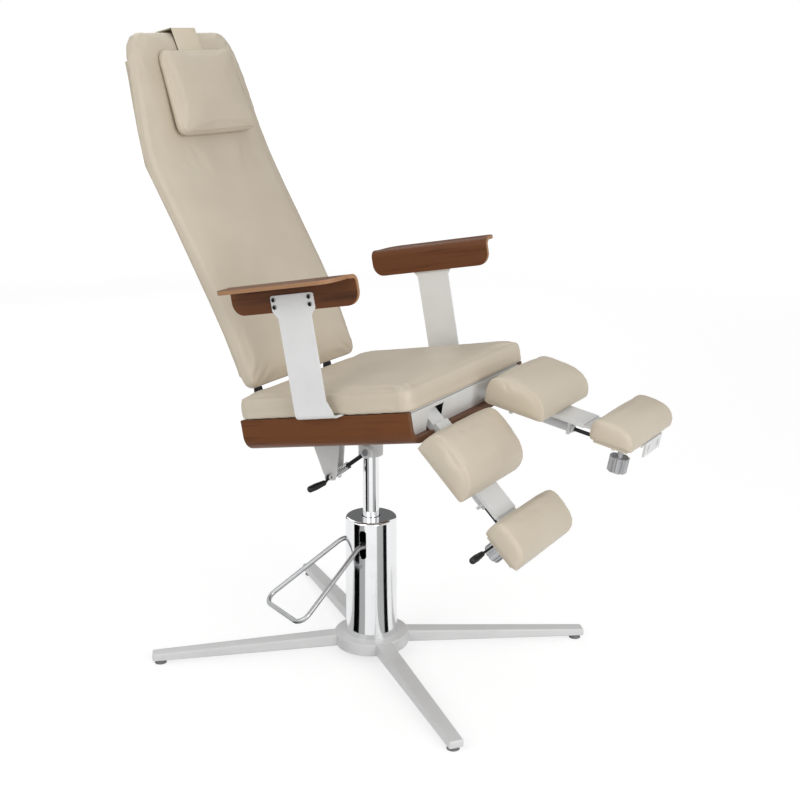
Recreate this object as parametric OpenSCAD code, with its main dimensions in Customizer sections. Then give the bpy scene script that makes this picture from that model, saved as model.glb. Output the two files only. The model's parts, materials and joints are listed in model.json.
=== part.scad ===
// Podiatry chair: a tilting seat with a reclining back and two leg rests that
// swing and extend one by one, on a foot-pumped column over a four-leg star.
// The origin is on the floor under the column. +X points forward to the leg
// rests, +Y to the sitter's left and +Z up. All lengths are in millimetres.

/* [Star base] */
// Radius of the hub
hub_r = 80; // [60:1:100]
// Height of the hub's underside
hub_low = 20; // [15:1:26]
// Height of the hub's top, on which the pump stands
hub_top = 48; // [40:1:60]
// Step between a leg's root and the hub's faces
hub_step = 1; // [0.5:0.5:2]
// Distance from the column axis to each foot
leg_reach = 455; // [400:1:500]
// Length of a leg past its foot
leg_past = 17; // [15:1:25]
// Turn of each leg from the chair's long axis
leg_turn = 38.6; // [30:0.1:50]
// Width of a leg at the hub
leg_root_w = 36; // [30:1:50]
// Width of a leg at its tip
leg_tip_w = 30; // [28:1:40]
// Height of a leg at its tip
leg_tip_h = 16; // [13:1:22]
// Diameter of a levelling foot
foot_d = 26; // [20:1:30]
// Height of a levelling foot
foot_h = 8; // [6:0.5:12]
// Diameter of a foot's threaded stem
foot_stem_d = 10; // [8:1:12]
// Length of a foot's stem inside the leg
foot_stem_l = 11; // [8:1:12]
// Diameter of a base bolt
bolt_d = 8; // [6:1:10]
// Diameter of a base bolt's head
bolt_head_d = 13; // [12:1:16]
// Height of a base bolt's head
bolt_head_h = 6; // [4:0.5:8]
// Radius of the circle of base bolts
bolt_ring_r = 40; // [36:1:44]

/* [Pump] */
// Diameter of the chrome cover
cover_d = 110; // [100:1:130]
// Wall of the chrome cover
cover_wall = 2; // [1.5:0.1:3]
// Height of the cover's top
cover_top = 311; // [305:1:330]
// Rounding of the cover's rim
cover_rim = 6; // [4:0.5:9]
// Width of a pedal slot
slot_w = 11.6; // [11:0.1:14]
// Height of a slot's lower end
slot_low = 231; // [225:1:240]
// Height of a slot's upper end
slot_high = 294; // [280:1:298]
// Diameter of the pump's cylinder
reservoir_d = 56; // [50:1:58]
// Diameter of the cylinder's foot flange
flange_d = 100; // [95:1:104]
// Thickness of the foot flange
flange_h = 10; // [8:1:14]
// Height of the cylinder's top
reservoir_top = 300; // [298:1:302]
// Floor of the cylinder above its flange's underside
reservoir_floor = 14; // [10:1:18]
// Diameter of the piston rod
rod_d = 35; // [30:1:38]
// Diameter of the piston and of the cylinder's bore
piston_d = 40; // [39:0.5:44]
// Length of the piston
piston_h = 15; // [10:1:20]
// Height of the piston's underside at rest
piston_low = 180; // [150:1:185]
// Length of the bush inside the cylinder
bush_l = 24; // [15:1:24]
// Width of the bush's collar past the bore
bush_lip = 4; // [2:0.5:6]
// Height of the bush's collar
bush_lip_h = 4; // [2:0.5:5]
// Height of the piston rod's shoulder
shoulder_z = 445; // [440:1:448]
// Diameter of the rod's upper pin
spigot_d = 28; // [24:1:30]
// Length of the rod's upper pin
spigot_l = 26; // [20:1:28]

/* [Pedal] */
// Direction of the pedal from the column
pedal_turn = -115; // [-130:1:-100]
// Distance of the pedal shaft from the column axis
pedal_shaft_out = 35; // [35:0.5:37]
// Height of the pedal shaft
pedal_shaft_z = 258; // [252:1:264]
// Diameter of the pedal shaft
pedal_shaft_d = 12; // [10:0.5:12]
// Diameter of the pedal's rod
pedal_rod_d = 10; // [8:0.5:10.5]
// Half of the distance between the rods at the cover
pedal_root_half = 33.5; // [33:0.5:34]
// Distance at which the rods bend down
pedal_bend_out = 54; // [52:1:60]
// Distance of the pedal's outer bar
pedal_out = 221; // [200:1:240]
// Height of the pedal's outer bar
pedal_z = 143; // [130:1:160]
// Half of the length of the outer bar
pedal_half = 77; // [60:1:90]
// Share of each rod left straight before the rounded corner
pedal_straight_share = 0.9; // [0.8:0.01:0.95]
// Thickness of the pedal bracket's cheeks
cheek_t = 7; // [5:0.5:9]
// Inner face of each cheek from the middle
cheek_in = 16; // [14:1:18]
// Rim of a cheek around the shaft
cheek_rim = 4; // [3:0.5:5]

/* [Column head] */
// Height of the thrust washer
washer_h = 2; // [1:0.5:3]
// Diameter of the head's round body
head_d = 52; // [50:1:56]
// Height of the head's round body
head_h = 31; // [29:1:34]
// Height of the tilt pin
tilt_z = 496; // [495:1:500]
// Diameter of the tilt pin
tilt_pin_d = 12; // [10:1:14]
// Radius of the eyes around the tilt pin
eye_r = 15; // [12:1:16]
// Half of the width of the seat's eye
seat_eye_half = 18; // [14:0.5:18]
// Thickness of each cheek of the head
fork_t = 7; // [5:0.5:8]
// Gap beside the seat's eye
fork_gap = 0.5; // [0.3:0.1:1]
// Thickness of the pin's end rings
ring_t = 3; // [2:0.5:4]
// Width of the pin's end rings past the pin
ring_lip = 3; // [2:0.5:4]

/* [Tilt strut] */
// Place of the strut's upper pin along the chair
strut_top_x = 10; // [6:1:14]
// Height of the strut's upper pin
strut_top_z = 461; // [460:0.5:464]
// Middle plane of the strut
strut_y = -32; // [-34:0.5:-32]
// Place of the strut's lower pin along the chair
strut_low_x = -72; // [-76:1:-68]
// Height of the strut's lower pin
strut_low_z = 397; // [394:1:402]
// Diameter of the strut's barrel
barrel_d = 16; // [14:0.5:17]
// Length of the strut's barrel
barrel_l = 46; // [40:1:50]
// Number of ribs on the barrel
barrel_ribs = 6; // [3:1:9]
// Depth of the grooves between ribs
rib_depth = 1; // [0.5:0.1:1.5]
// Diameter of the strut's rod
strut_rod_d = 9; // [7:0.5:10]
// Length of the strut's rod inside the barrel at rest
strut_rod_in = 30; // [22:1:34]
// Diameter of the strut's upper eye
strut_eye_d = 26; // [24:1:28]
// Width of the strut's upper eye
strut_eye_w = 10; // [8:0.5:10]
// Diameter of the strut's pins
strut_pin_d = 8; // [6:0.5:10]
// Play of the upper eye on its pin
strut_play = 0.8; // [0.6:0.1:1.2]
// Thickness of the tilt bracket's plates
bracket_t = 4; // [3:0.5:5]
// Half of the gap between the bracket's plates
bracket_half = 9; // [8.7:0.1:11]
// Length of the bracket at the tray
bracket_top_l = 82; // [70:1:90]
// Length of the bracket at its tip
bracket_tip_l = 34; // [28:1:40]
// Middle of the bracket's foot along the seat
bracket_x = -98; // [-100:1:-96]
// Metal of the bracket below its lower pin
bracket_below = 8; // [7:0.5:10]

/* [Tilt lever] */
// Diameter of the lever's rod
lever_d = 6; // [5:0.5:7]
// Diameter of the lever's grip
tilt_grip_d = 15; // [12:0.5:17]
// Reach of the lever from the bracket to its grip
lever_out = 16; // [14:0.5:20]
// Length of the grip across the chair
tilt_grip_out = 32; // [28:1:36]
// Backward run of the grip
tilt_grip_back = 16; // [10:1:20]
// Fall of the grip
tilt_grip_fall = 5; // [2:0.5:8]
// Diameter of the lever's pivot disc
lever_eye_d = 12; // [10:0.5:13]
// Thickness of the lever's pivot disc
lever_eye_t = 7; // [6.5:0.5:8]
// Thickness of the two ears beside the pivot disc
lever_ear_t = 3; // [2:0.5:4]
// Diameter of the lever's pivot pin
lever_pin_d = 5; // [4:0.5:6]

/* [Seat] */
// Height of the seat frame's origin on the column axis
seat_z = 560; // [558:1:563]
// Backward tilt of the seat at rest
seat_tilt = 10.4; // [10:0.1:11]
// Half of the tray's width
tray_half = 240; // [238:1:250]
// Thickness of the tray's ply
tray_t = 12; // [10:0.5:13]
// Top edge of the tray
tray_top = 24; // [22:0.5:26]
// Underside of the tray
tray_low = -40; // [-42:0.5:-39]
// Back edge of the tray
tray_back = -154; // [-158:1:-150]
// Front edge of the tray
tray_front = 238; // [236:1:242]
// Length of the notches for the legs in the tray's floor
notch_l = 27; // [26:1:32]
// Outer rounding of the tray's lower edges
tray_round = 31; // [25:1:31]
// Thickness of the seat board
seat_board_t = 12; // [9:0.5:12]
// Setback of the seat board from the tray's ends
seat_board_in = 6; // [4:0.5:8]
// Back edge of the cushion
cushion_back = -160; // [-162:1:-158]
// Front edge of the cushion
cushion_front = 250; // [240:1:252]
// Overhang of the cushion past the tray's sides
cushion_over = 5; // [0:0.5:8]
// Height of the cushion's side
cushion_h = 44; // [38:1:52]
// Crown of the cushion
cushion_crown = 10; // [6:1:16]
// Rounding of the cushion's corners
cushion_round = 22; // [16:1:40]
// Tuck of the cushion's seams
cushion_tuck = 5; // [3:0.5:8]
// Thickness of the seat mount's plate
mount_t = 6; // [5:0.5:7]
// Back edge of the mount's plate
mount_back = -48; // [-52:1:-44]
// Front edge of the mount's plate
mount_front = 110; // [90:1:130]
// Half of the width of the mount's plate
mount_half = 70; // [60:1:90]
// Thickness of the apron's sheet
apron_t = 2; // [1.5:0.1:3]
// Top edge of the apron
apron_top = 20; // [18:0.5:21]
// Setback of the apron's top from the tray's front
apron_in = 1; // [1:0.5:4]
// Backward lean of the apron at its foot
apron_lean = 18; // [14:1:20]
// Inner edge of a leg opening
opening_in = 98; // [90:1:99]
// Outer edge of a leg opening
opening_out = 155; // [151:1:165]
// Top edge of a leg opening
opening_top = 15; // [14.5:0.5:16]

/* [Posts and armrests] */
// Outer face of a post
post_out = 266; // [264:1:272]
// Thickness of a post
post_t = 4; // [3:0.5:5]
// Back edge of a post
post_back = 2; // [0:1:6]
// Width of a post
post_w = 76; // [60:1:90]
// Top of a post's head plate
post_top = 267; // [255:1:275]
// Height of a post's head plate
head_plate_h = 30; // [26:1:36]
// Overhang of the head plate past the post
head_plate_over = 11; // [6:1:16]
// Outer rounding of the post's bend
post_bend = 12; // [8:1:16]
// Reach of the post's foot past the tray's outer face
post_foot_in = 50; // [40:1:60]
// Flare of the foot past the post's front edge
post_flare = 22; // [12:1:28]
// Thickness of an armrest's ply
arm_t = 8; // [6:0.5:10]
// Outer edge of an armrest
arm_out = 331; // [320:1:345]
// Top face of an armrest
arm_top = 292; // [285:1:300]
// Lower edge of an armrest's upright flange
arm_low = 234; // [225:1:238]
// Back edge of an armrest's upright flange
arm_back = -105; // [-120:1:-90]
// Front edge of an armrest's upright flange
arm_front = 187; // [170:1:200]
// Setback of an armrest's flat flange at both ends
arm_setback = 12; // [4:1:20]
// Rounding of an armrest's corners
arm_round = 26; // [16:1:30]
// Outer rounding of an armrest's bend
arm_bend = 16; // [12:1:20]
// Diameter of a screw's head
screw_head_d = 9; // [7:0.5:11]
// Height of a screw's head
screw_head_h = 2.5; // [2:0.5:4]
// Diameter of a screw
screw_d = 5; // [4:0.5:6]
// Edge distance of the screws
screw_in = 8; // [7:0.5:9]

/* [Backrest] */
// Place of the recline pivot along the seat
pivot_x = -183; // [-186:1:-183]
// Height of the recline pivot over the seat frame
pivot_z = 14; // [10:1:18]
// Diameter of the pivot tube
pivot_d = 24; // [20:1:25]
// Half of the length of the pivot tube
pivot_half = 156; // [155:1:170]
// Radius of the back arms' eyes
pivot_eye_r = 17; // [16:0.5:18]
// Thickness of the back brackets
back_bracket_t = 6; // [4:0.5:8]
// Middle of a back arm across the chair
back_arm_y = 128; // [110:1:136]
// Thickness of a back arm
back_arm_t = 8; // [6:0.5:10]
// Depth of a back arm behind the board
back_arm_deep = 12; // [8:0.5:16]
// Top of the back arms
back_arm_top = 420; // [380:1:460]
// Bottom edge of the backrest
back_low = 73; // [72:1:85]
// Top edge of the backrest
back_high = 818; // [790:1:840]
// Depth of the cushion behind its front crease
back_pad_t = 27; // [22:1:30]
// Crown of the back cushion
back_crown = 12; // [8:1:16]
// Gap that lets the back cushion's facets clear the back board
back_gap = 1.5; // [1.2:0.1:2]
// Thickness of the back board
back_board_t = 8; // [6:0.5:10]
// Setback of the back board from the cushion's outline
back_board_in = 9; // [6:1:12]
// Rounding of the backrest's upper corners
back_round = 50; // [40:1:70]
// Rounding of the backrest's lower corners
back_low_round = 22; // [15:1:50]
// Tuck of the back cushion's seams
back_tuck = 4; // [3:0.5:6]
// Half of the strap's width
strap_half = 39; // [30:1:45]
// Thickness of the strap
strap_t = 2; // [1.5:0.1:3]
// Lowest point of the strap on the front
strap_low = 640; // [620:1:650]
// Lowest point of the strap on the back
strap_back_low = 700; // [680:1:740]

/* [Head pillow] */
// Bottom edge of the pillow
pillow_low = 594; // [590:1:605]
// Top edge of the pillow
pillow_high = 772; // [765:1:776]
// Half of the pillow's width at its bottom
pillow_half = 126; // [105:1:130]
// Half of the pillow's width at its top
pillow_top_half = 110; // [95:1:115]
// Height of the pillow's side
pillow_t = 22; // [14:1:24]
// Crown of the pillow
pillow_crown = 14; // [8:1:18]
// Rounding of the pillow's corners
pillow_round = 16; // [12:1:34]
// Gap between the pillow and the strap
pillow_gap = 0.8; // [0.7:0.1:1.5]

/* [Leg rests] */
// Place of the leg hinge along the seat
knee_x = 203; // [200:1:205]
// Height of the leg hinge over the seat frame
knee_z = -3; // [-4:0.5:-3]
// Middle plane of a leg rest
leg_y = 124; // [122:0.5:125]
// Drop of the right leg rest below the seat's plane
drop_right = 55.3; // [50:0.1:58]
// Drop of the left leg rest below the seat's plane
drop_left = 21.3; // [15:0.1:35]
// Pull-out of the left leg rest past the right one
pull_left = 30; // [10:1:40]
// Diameter of the leg shaft
shaft_d = 16; // [14:1:18]
// Half of the length of the leg shaft
shaft_half = 206; // [198:1:207]
// Radius of a leg's hub
hub_eye_r = 14; // [12:0.5:14.5]
// Width of a leg's neck
neck_w = 46; // [40:1:50]
// Height of a leg's neck
neck_h = 20; // [18:1:22]
// Distance from the hinge at which the neck steps up, clear of the seat board
neck_step = 32; // [30:1:36]
// Wall of the neck
neck_wall = 2.5; // [2:0.5:4]
// Start of the carriage along the leg
carriage_from = 52; // [50:1:56]
// End of the carriage along the leg
carriage_to = 245; // [230:1:247]
// Width of the carriage
carriage_w = 76; // [70:1:84]
// Height of the carriage
carriage_h = 8; // [7.5:0.5:10]
// Wall of the carriage
carriage_wall = 1.5; // [1.2:0.1:2]
// Slack of the slide plate inside the carriage
slide_slack = 0.1; // [0.05:0.05:0.3]
// Start of the slide plate at the right leg
slide_from = 100; // [90:1:120]
// Back edge of the calf pad
calf_from = 55; // [52:1:60]
// Front edge of the calf pad
calf_to = 186; // [175:1:195]
// Underside of the calf pad
calf_low = 10; // [9:0.5:12]
// Height of the calf pad's side
calf_h = 58; // [48:1:64]
// Half of the pads' width
pad_half = 116; // [100:1:117]
// Tuck of the pads' side seams
pad_tuck = 4; // [2:0.5:6]
// Thickness of the boards inside the pads
pad_board_t = 6; // [5:0.5:8]
// Setback of the boards inside the pads
pad_board_in = 9; // [7:0.5:12]
// Back edge of the heel pad at the right leg
heel_from = 255; // [254:1:262]
// Front edge of the heel pad at the right leg
heel_to = 343; // [335:1:355]
// Underside of the heel pad
heel_low = 12; // [11:0.5:13]
// Height of the heel pad's side
heel_h = 43; // [34:1:48]

/* [Leg rest fittings] */
// Depth of the gas spring's axis below the carriage
gas_low = 23; // [21:0.5:26]
// Diameter of the gas cylinder
gas_d = 18; // [16:0.5:20]
// Back end of the gas cylinder
gas_from = 78; // [74:1:84]
// Front end of the gas cylinder
gas_to = 214; // [205:1:220]
// Diameter of the gas rod
gas_rod_d = 8; // [7:0.5:10]
// Back end of the gas rod at the right leg
gas_rod_from = 120; // [105:1:120]
// Back face of the slide plate's lug from the heel pad's start
lug_after = 17; // [15:0.5:19]
// Thickness of the lugs
lug_t = 6; // [5:0.5:7]
// Half of the lugs' width
lug_half = 12; // [11:0.5:13]
// Depth of the lugs below the gas spring's axis
lug_below = 11; // [10:0.5:12]
// Distance of the knob from the heel pad's start
knob_after = 34; // [34:0.5:37]
// Diameter of the knob
knob_d = 40; // [36:1:42]
// Height of the knob
knob_h = 31; // [26:1:42]
// Top of the knob below the carriage
knob_low = 45; // [42:1:50]
// Number of flutes on the knob
knob_flutes = 8; // [6:1:12]
// Diameter of a flute
flute_d = 9; // [7:0.5:10]
// Diameter of the knob's stem
stem_d = 12; // [10:0.5:12]
// Diameter of the stem's boss
boss_d = 18; // [17:0.5:20]
// Height of the stem's boss
boss_h = 14; // [10:1:18]
// Distance of the end bracket from the heel pad's start
end_after = 85; // [80:1:90]
// Thickness of the end bracket
end_t = 4; // [3:0.5:5]
// Half of the end bracket's width
end_half = 43; // [38:1:48]
// Outward shift of the end bracket
end_shift = 16; // [10:1:20]
// Height of the end bracket above the carriage's underside
end_up = 10; // [8:0.5:10.5]
// Depth of the end bracket below the carriage's underside
end_down = 20; // [16:1:24]
// Width of a slot in the end bracket
end_slot_w = 8; // [6:0.5:9]
// Length of a slot in the end bracket
end_slot_l = 14; // [12:0.5:16]
// Distance between the slots in the end bracket
end_slot_gap = 50; // [46:1:56]
// Outward place of the release lever's pivot from the leg's middle
release_y = 17; // [16.5:0.5:18]
// Diameter of the release lever's pivot disc
release_eye_d = 12; // [10:0.5:12]
// Thickness of the release lever's pivot disc
release_eye_t = 5; // [4:0.5:5.5]
// Diameter of the release lever's rod
release_d = 5; // [4:0.5:6]
// Diameter of the release lever's grip
release_grip_d = 14; // [11:0.5:16]
// Start of the grip from the leg's middle
release_grip_from = 68; // [30:1:80]
// End of the grip from the leg's middle
release_grip_to = 126; // [110:1:135]
// Fall of the release lever towards its end
release_fall = 12; // [8:1:14]

/* [Hidden] */
// Play of a running fit and of a resting fit
run_fit = 0.05;
rest_fit = 0.02;
soft_gap = 0.3;
over = 1;
$fn = 48;

// Shares that shape the padded forms
floor_shares = [0.35, 0.7];
back_floor_shares = [0.15, 0.3, 0.45, 0.6, 0.75, 0.9];
side_shares = [[0, 1], [0.16, 0.35], [0.5, 0], [0.84, 0.35], [1, 1]];
top_shares = [0.9, 0.7, 0.4];
back_top_shares = [0.95, 0.85, 0.7, 0.55, 0.4, 0.2];
// Side profile of the leg pads, from the back of the floor over the top to the
// front: share of the length and share of the height
pad_profile_shares = [[0.02, 0], [0, 0.3], [0.01, 0.65], [0.05, 0.86], [0.14, 0.97], [0.3, 1], [0.5, 0.98],
    [0.7, 0.92], [0.84, 0.8], [0.94, 0.6], [0.99, 0.36], [1, 0.1], [0.98, 0]];
// Rise of the leg pads' height from their side seams to their middle
pad_rise_share = 0.1;
pad_row_shares = [-1, -0.8, -0.55, -0.28, 0, 0.28, 0.55, 0.8, 1];
pad_end_share = 0.6;
corner_steps = 3;
foot_top_share = 0.8;
knuckle_share = 1.06;
half_share = 0.5;
groove_share = 0.35;

// Front crease of the backrest: height over the seat frame and place along it
back_line = [[81, -143], [118, -148], [188, -164], [257, -184], [415, -237],
    [548, -283], [618, -294], [680, -301], [733, -308], [777, -316], [818, -322]];
// Half of the backrest's width at the same kind of heights
back_widths = [[81, 194], [257, 199], [415, 200], [548, 203], [680, 185], [777, 168], [818, 160]];

bush_low = reservoir_top - bush_l;
foot_turns = [leg_turn, 180 - leg_turn, 180 + leg_turn, -leg_turn];
pump_inner_d = cover_d - 2 * cover_wall;
head_low = shoulder_z + washer_h;
head_top = head_low + head_h;
drop_to_pin = seat_z - tilt_z;
pin_x = -drop_to_pin * sin(seat_tilt);
pin_z = -drop_to_pin * cos(seat_tilt);
strut_run = strut_top_x - strut_low_x;
strut_rise = strut_top_z - strut_low_z;
strut_l = norm([strut_run, strut_rise]);
strut_turn = atan2(strut_rise, strut_run);
strut_x = seat_x(strut_low_x, strut_low_z);
strut_z = seat_height(strut_low_x, strut_low_z);
lever_reach = lever_eye_t / 2 + soft_gap + lever_ear_t;
lever_y = strut_y - bracket_half - bracket_t - lever_eye_d / 2;
lever_from = [strut_x, lever_y, strut_z];
lever_to = [strut_x, lever_y - lever_out, strut_z - lever_d];
grip_to = lever_to - [tilt_grip_back, tilt_grip_out, tilt_grip_fall];
board_top = tray_top;
board_low = board_top - seat_board_t;
inner_half = tray_half - tray_t;
floor_z = tray_low + tray_t;
head_plate_low = post_top - head_plate_h;
arm_in = post_out - post_t;
back_mid = (back_low + back_high) / 2;
back_max = 203;
pillow_mid = (pillow_low + pillow_high) / 2;
pillow_tall = (pillow_high - pillow_low) / 2;
pillow_lean = atan2(front_x(pillow_low) - front_x(pillow_high), pillow_high - pillow_low);
slide_low = carriage_wall + slide_slack;
slide_high = carriage_h - carriage_wall - slide_slack;
lug_low = -gas_low - lug_below;

// Place along the seat frame of a point given in the chair's frame
function seat_x(x, z) = x * cos(seat_tilt) + (z - seat_z) * sin(seat_tilt);
// Height over the seat frame of a point given in the chair's frame
function seat_height(x, z) = (z - seat_z) * cos(seat_tilt) - x * sin(seat_tilt);
// Place of the backrest's front crease at a height
function crease_x(z) = lookup(z, back_line);
// Crown of the back cushion at a height, on its middle line
function crown_at(z) = let (share = (z - back_mid) / (back_high - back_mid))
    back_crown * max(0, 1 - share * share);
// Place of the back cushion's front on its middle line
function front_x(z) = crease_x(z) + crown_at(z);
// Half of the backrest's width at a height
function back_half(z) = lookup(z, back_widths);

// Puts the children in the tilted seat frame
module at_seat() {
    translate([0, 0, seat_z])
        rotate([0, -seat_tilt, 0])
            children();
}

// Puts the children in the frame of a leg rest, X along the leg
module at_leg(drop, left) {
    at_seat()
        translate([knee_x, 0, knee_z])
            rotate([0, drop, 0])
                on_side(left)
                    translate([0, leg_y, 0])
                        children();
}

// Turns the children, drawn towards +X, into the pedal's direction
module at_pedal() {
    rotate([0, 0, pedal_turn])
        children();
}

// Keeps the children on the left, or mirrors them to the right
module on_side(left) {
    if (left)
        children();
    else
        mirror([0, 1, 0])
            children();
}

// Runs the children on the left and mirrored on the right
module both_sides() {
    children();
    mirror([0, 1, 0])
        children();
}

// Box between two corners
module block(low, high) {
    translate(low)
        cube(high - low);
}

// Round bar along Y
module bar_y(d, x, from, to, z) {
    translate([x, to, z])
        rotate([90, 0, 0])
            cylinder(d = d, h = to - from);
}

// Round bar along X
module bar_x(d, from, to, y, z) {
    translate([from, y, z])
        rotate([0, 90, 0])
            cylinder(d = d, h = to - from);
}

// Round bar between two points
module rod(d, from, to) {
    run = to - from;
    translate(from)
        rotate([0, acos(run.z / norm(run)), atan2(run.y, run.x)])
            cylinder(d = d, h = norm(run));
}

// Round grip between two points, with a domed end past the second one
module grip(d, from, to) {
    run = to - from;
    reach = norm(run);
    translate(from)
        rotate([0, acos(run.z / reach), atan2(run.y, run.x)])
            rotate_extrude()
                intersection() {
                    union() {
                        translate([0, reach])
                            circle(d = d);
                        square([d / 2, reach]);
                    }
                    square([d, reach + d]);
                }
}

// Flat shape in X and Z, given a thickness along Y
module plate_y(from, to) {
    translate([0, to, 0])
        rotate([90, 0, 0])
            linear_extrude(to - from)
                children();
}

// Flat rounded rectangle between two corners
module rounded(low, high, r) {
    translate([low.x + r, low.y])
        square([high.x - low.x - 2 * r, high.y - low.y]);
    translate([low.x, low.y + r])
        square([high.x - low.x, high.y - low.y - 2 * r]);
    for (x = [low.x + r, high.x - r])
        for (y = [low.y + r, high.y - r])
            translate([x, y])
                circle(r);
}

// Arc of points around one corner of a pad's outline
function corner(x, y, r, start) = [for (i = [0:corner_steps])
    let (turn = start + i * 90 / corner_steps)
    [x + r * cos(turn), y + r * sin(turn)]];
// Points between two corners of a pad's outline
function between(from, to, steps) = [for (i = [1:steps - 1]) from + (to - from) * i / steps];
// Closed outline of a pad, its corners rounded by r on +X and by q on -X
function outline(half_x, half_y, r, q, steps_x, steps_y) =
    let (x = half_x - r, y = half_y - r, v = half_x - q, w = half_y - q) concat(
    corner(x, y, r, 0), between([x, half_y], [-v, half_y], steps_x),
    corner(-v, w, q, 90), between([-half_x, w], [-half_x, -w], steps_y),
    corner(-v, -w, q, 180), between([-v, -half_y], [x, -half_y], steps_x),
    corner(x, -y, r, 270), between([half_x, -y], [half_x, y], steps_y));
// Rows of a padded form from its floor over its side to its crown:
// size along X, size along Y, height
function pad_rows(half_x, half_y, thick, crown, tuck, low = floor_shares, high = top_shares) =
    let (top = half_shape(half_x, half_y, tuck)) concat(
    [for (share = low) [top.x * share, top.y * share, 0]],
    [for (pair = side_shares) [1 - tuck * pair[1] / half_x, 1 - tuck * pair[1] / half_y, thick * pair[0]]],
    [for (share = high) [top.x * share, top.y * share, thick + crown * (1 - share * share)]]);
// Size of a seam against the widest outline
function half_shape(half_x, half_y, tuck) = [1 - tuck / half_x, 1 - tuck / half_y];
// All points of a padded form, floor middle first and crown last
function pad_points(ring, rows, high) = concat([[0, 0, 0]],
    [for (row = rows) for (p = ring) [p.x * row[0], p.y * row[1], row[2]]], [[0, 0, high]]);

// Closed skin over rows of points, between two middle points
module skin(points, count) {
    rows = (len(points) - 2) / count;
    last = len(points) - 1;
    floor_faces = [for (i = [0:count - 1]) [0, 1 + i, 1 + (i + 1) % count]];
    top_faces = [for (i = [0:count - 1]) let (base = last - count) [last, base + (i + 1) % count, base + i]];
    side_faces = [for (row = [0:rows - 2]) for (i = [0:count - 1])
        let (a = 1 + row * count + i, b = 1 + row * count + (i + 1) % count)
        each [[a, a + count, b + count], [a, b + count, b]]];
    polyhedron(points, concat(floor_faces, side_faces, top_faces));
}

// Padded form on the floor of its own frame
module pad(half_x, half_y, r, thick, crown, tuck, steps_x, steps_y) {
    ring = outline(half_x, half_y, r, r, steps_x, steps_y);
    rows = pad_rows(half_x, half_y, thick, crown, tuck);
    skin(pad_points(ring, rows, thick + crown), len(ring));
}

// Ring of a leg pad's profile at one place across the pad, grown or shrunk
// about the profile's middle
function profile_ring(long, high, y, rise, size) = [for (share = pad_profile_shares)
    [long * (half_share + size * (share[0] - half_share)), y,
        high * rise * (half_share + size * (share[1] - half_share))]];

// Leg pad on the floor of its own frame, X from its back edge
module profile_pad(long, half, high, tuck) {
    seam = half - tuck;
    end = half - tuck / 3;
    middle = [long / 2, half, high / 2];
    rows = concat([profile_ring(long, high, -end, 1, pad_end_share)],
        [for (share = pad_row_shares)
            profile_ring(long, high, seam * share, 1 + pad_rise_share * (1 - share * share), 1)],
        [profile_ring(long, high, end, 1, pad_end_share)]);
    skin(concat([[middle.x, -middle.y, middle.z]], [for (row = rows) each row], [middle]),
        len(pad_profile_shares));
}

// Profile of one star leg seen from its side, rooted inside the hub
module leg_side() {
    root = hub_r / 2;
    polygon([[root, hub_low + hub_step], [hub_r, hub_low + hub_step], [leg_reach + leg_past, foot_h],
        [leg_reach + leg_past, foot_h + leg_tip_h], [hub_r, hub_top - hub_step], [root, hub_top - hub_step]]);
}

// Outline of one star leg seen from above
module leg_plan() {
    root = hub_r / 2;
    polygon([[root, -leg_root_w / 2], [leg_reach + leg_past, -leg_tip_w / 2],
        [leg_reach + leg_past, leg_tip_w / 2], [root, leg_root_w / 2]]);
}

// Runs the children at each of the four feet
module at_feet() {
    for (turn = foot_turns)
        rotate([0, 0, turn])
            translate([leg_reach, 0, 0])
                children();
}

// Runs the children at each of the base bolts
module at_bolts() {
    for (turn = foot_turns)
        rotate([0, 0, turn])
            translate([bolt_ring_r, 0, 0])
                children();
}

module star_base() {
    color("gainsboro")
        difference() {
            union() {
                translate([0, 0, hub_low])
                    cylinder(r = hub_r, h = hub_top - hub_low);
                for (turn = foot_turns)
                    rotate([0, 0, turn])
                        intersection() {
                            plate_y(-leg_root_w / 2, leg_root_w / 2)
                                leg_side();
                            linear_extrude(hub_top)
                                leg_plan();
                        }
            }
            at_feet()
                cylinder(d = foot_stem_d + 2 * rest_fit, h = foot_h + foot_stem_l + rest_fit);
            at_bolts()
                cylinder(d = bolt_d + 2 * rest_fit, h = hub_top + over);
        }
}

module levelling_feet() {
    color("dimgray")
        at_feet()
            union() {
                cylinder(d1 = foot_d, d2 = foot_d * foot_top_share, h = foot_h);
                cylinder(d = foot_stem_d, h = foot_h + foot_stem_l);
            }
}

module base_bolts() {
    color("silver")
        at_bolts()
            translate([0, 0, hub_low - bolt_head_h])
                union() {
                    cylinder(d = bolt_head_d, h = bolt_head_h, $fn = 6);
                    cylinder(d = bolt_d, h = bolt_head_h + hub_top - hub_low + flange_h);
                }
}

// Outline of the cover's wall and top, right of the axis
module cover_profile() {
    r = cover_d / 2;
    hole = rod_d / 2 + cover_wall;
    difference() {
        union() {
            translate([hole, hub_top])
                square([r - hole, cover_top - cover_rim - hub_top]);
            translate([hole, hub_top])
                square([r - cover_rim - hole, cover_top - hub_top]);
            translate([r - cover_rim, cover_top - cover_rim])
                circle(cover_rim);
        }
        translate([0, hub_top - over])
            square([r - cover_wall, cover_top - cover_rim - hub_top + over]);
        translate([0, hub_top])
            square([r - cover_rim, cover_top - cover_wall - hub_top]);
        translate([r - cover_rim, cover_top - cover_rim])
            circle(cover_rim - cover_wall);
    }
}

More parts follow.
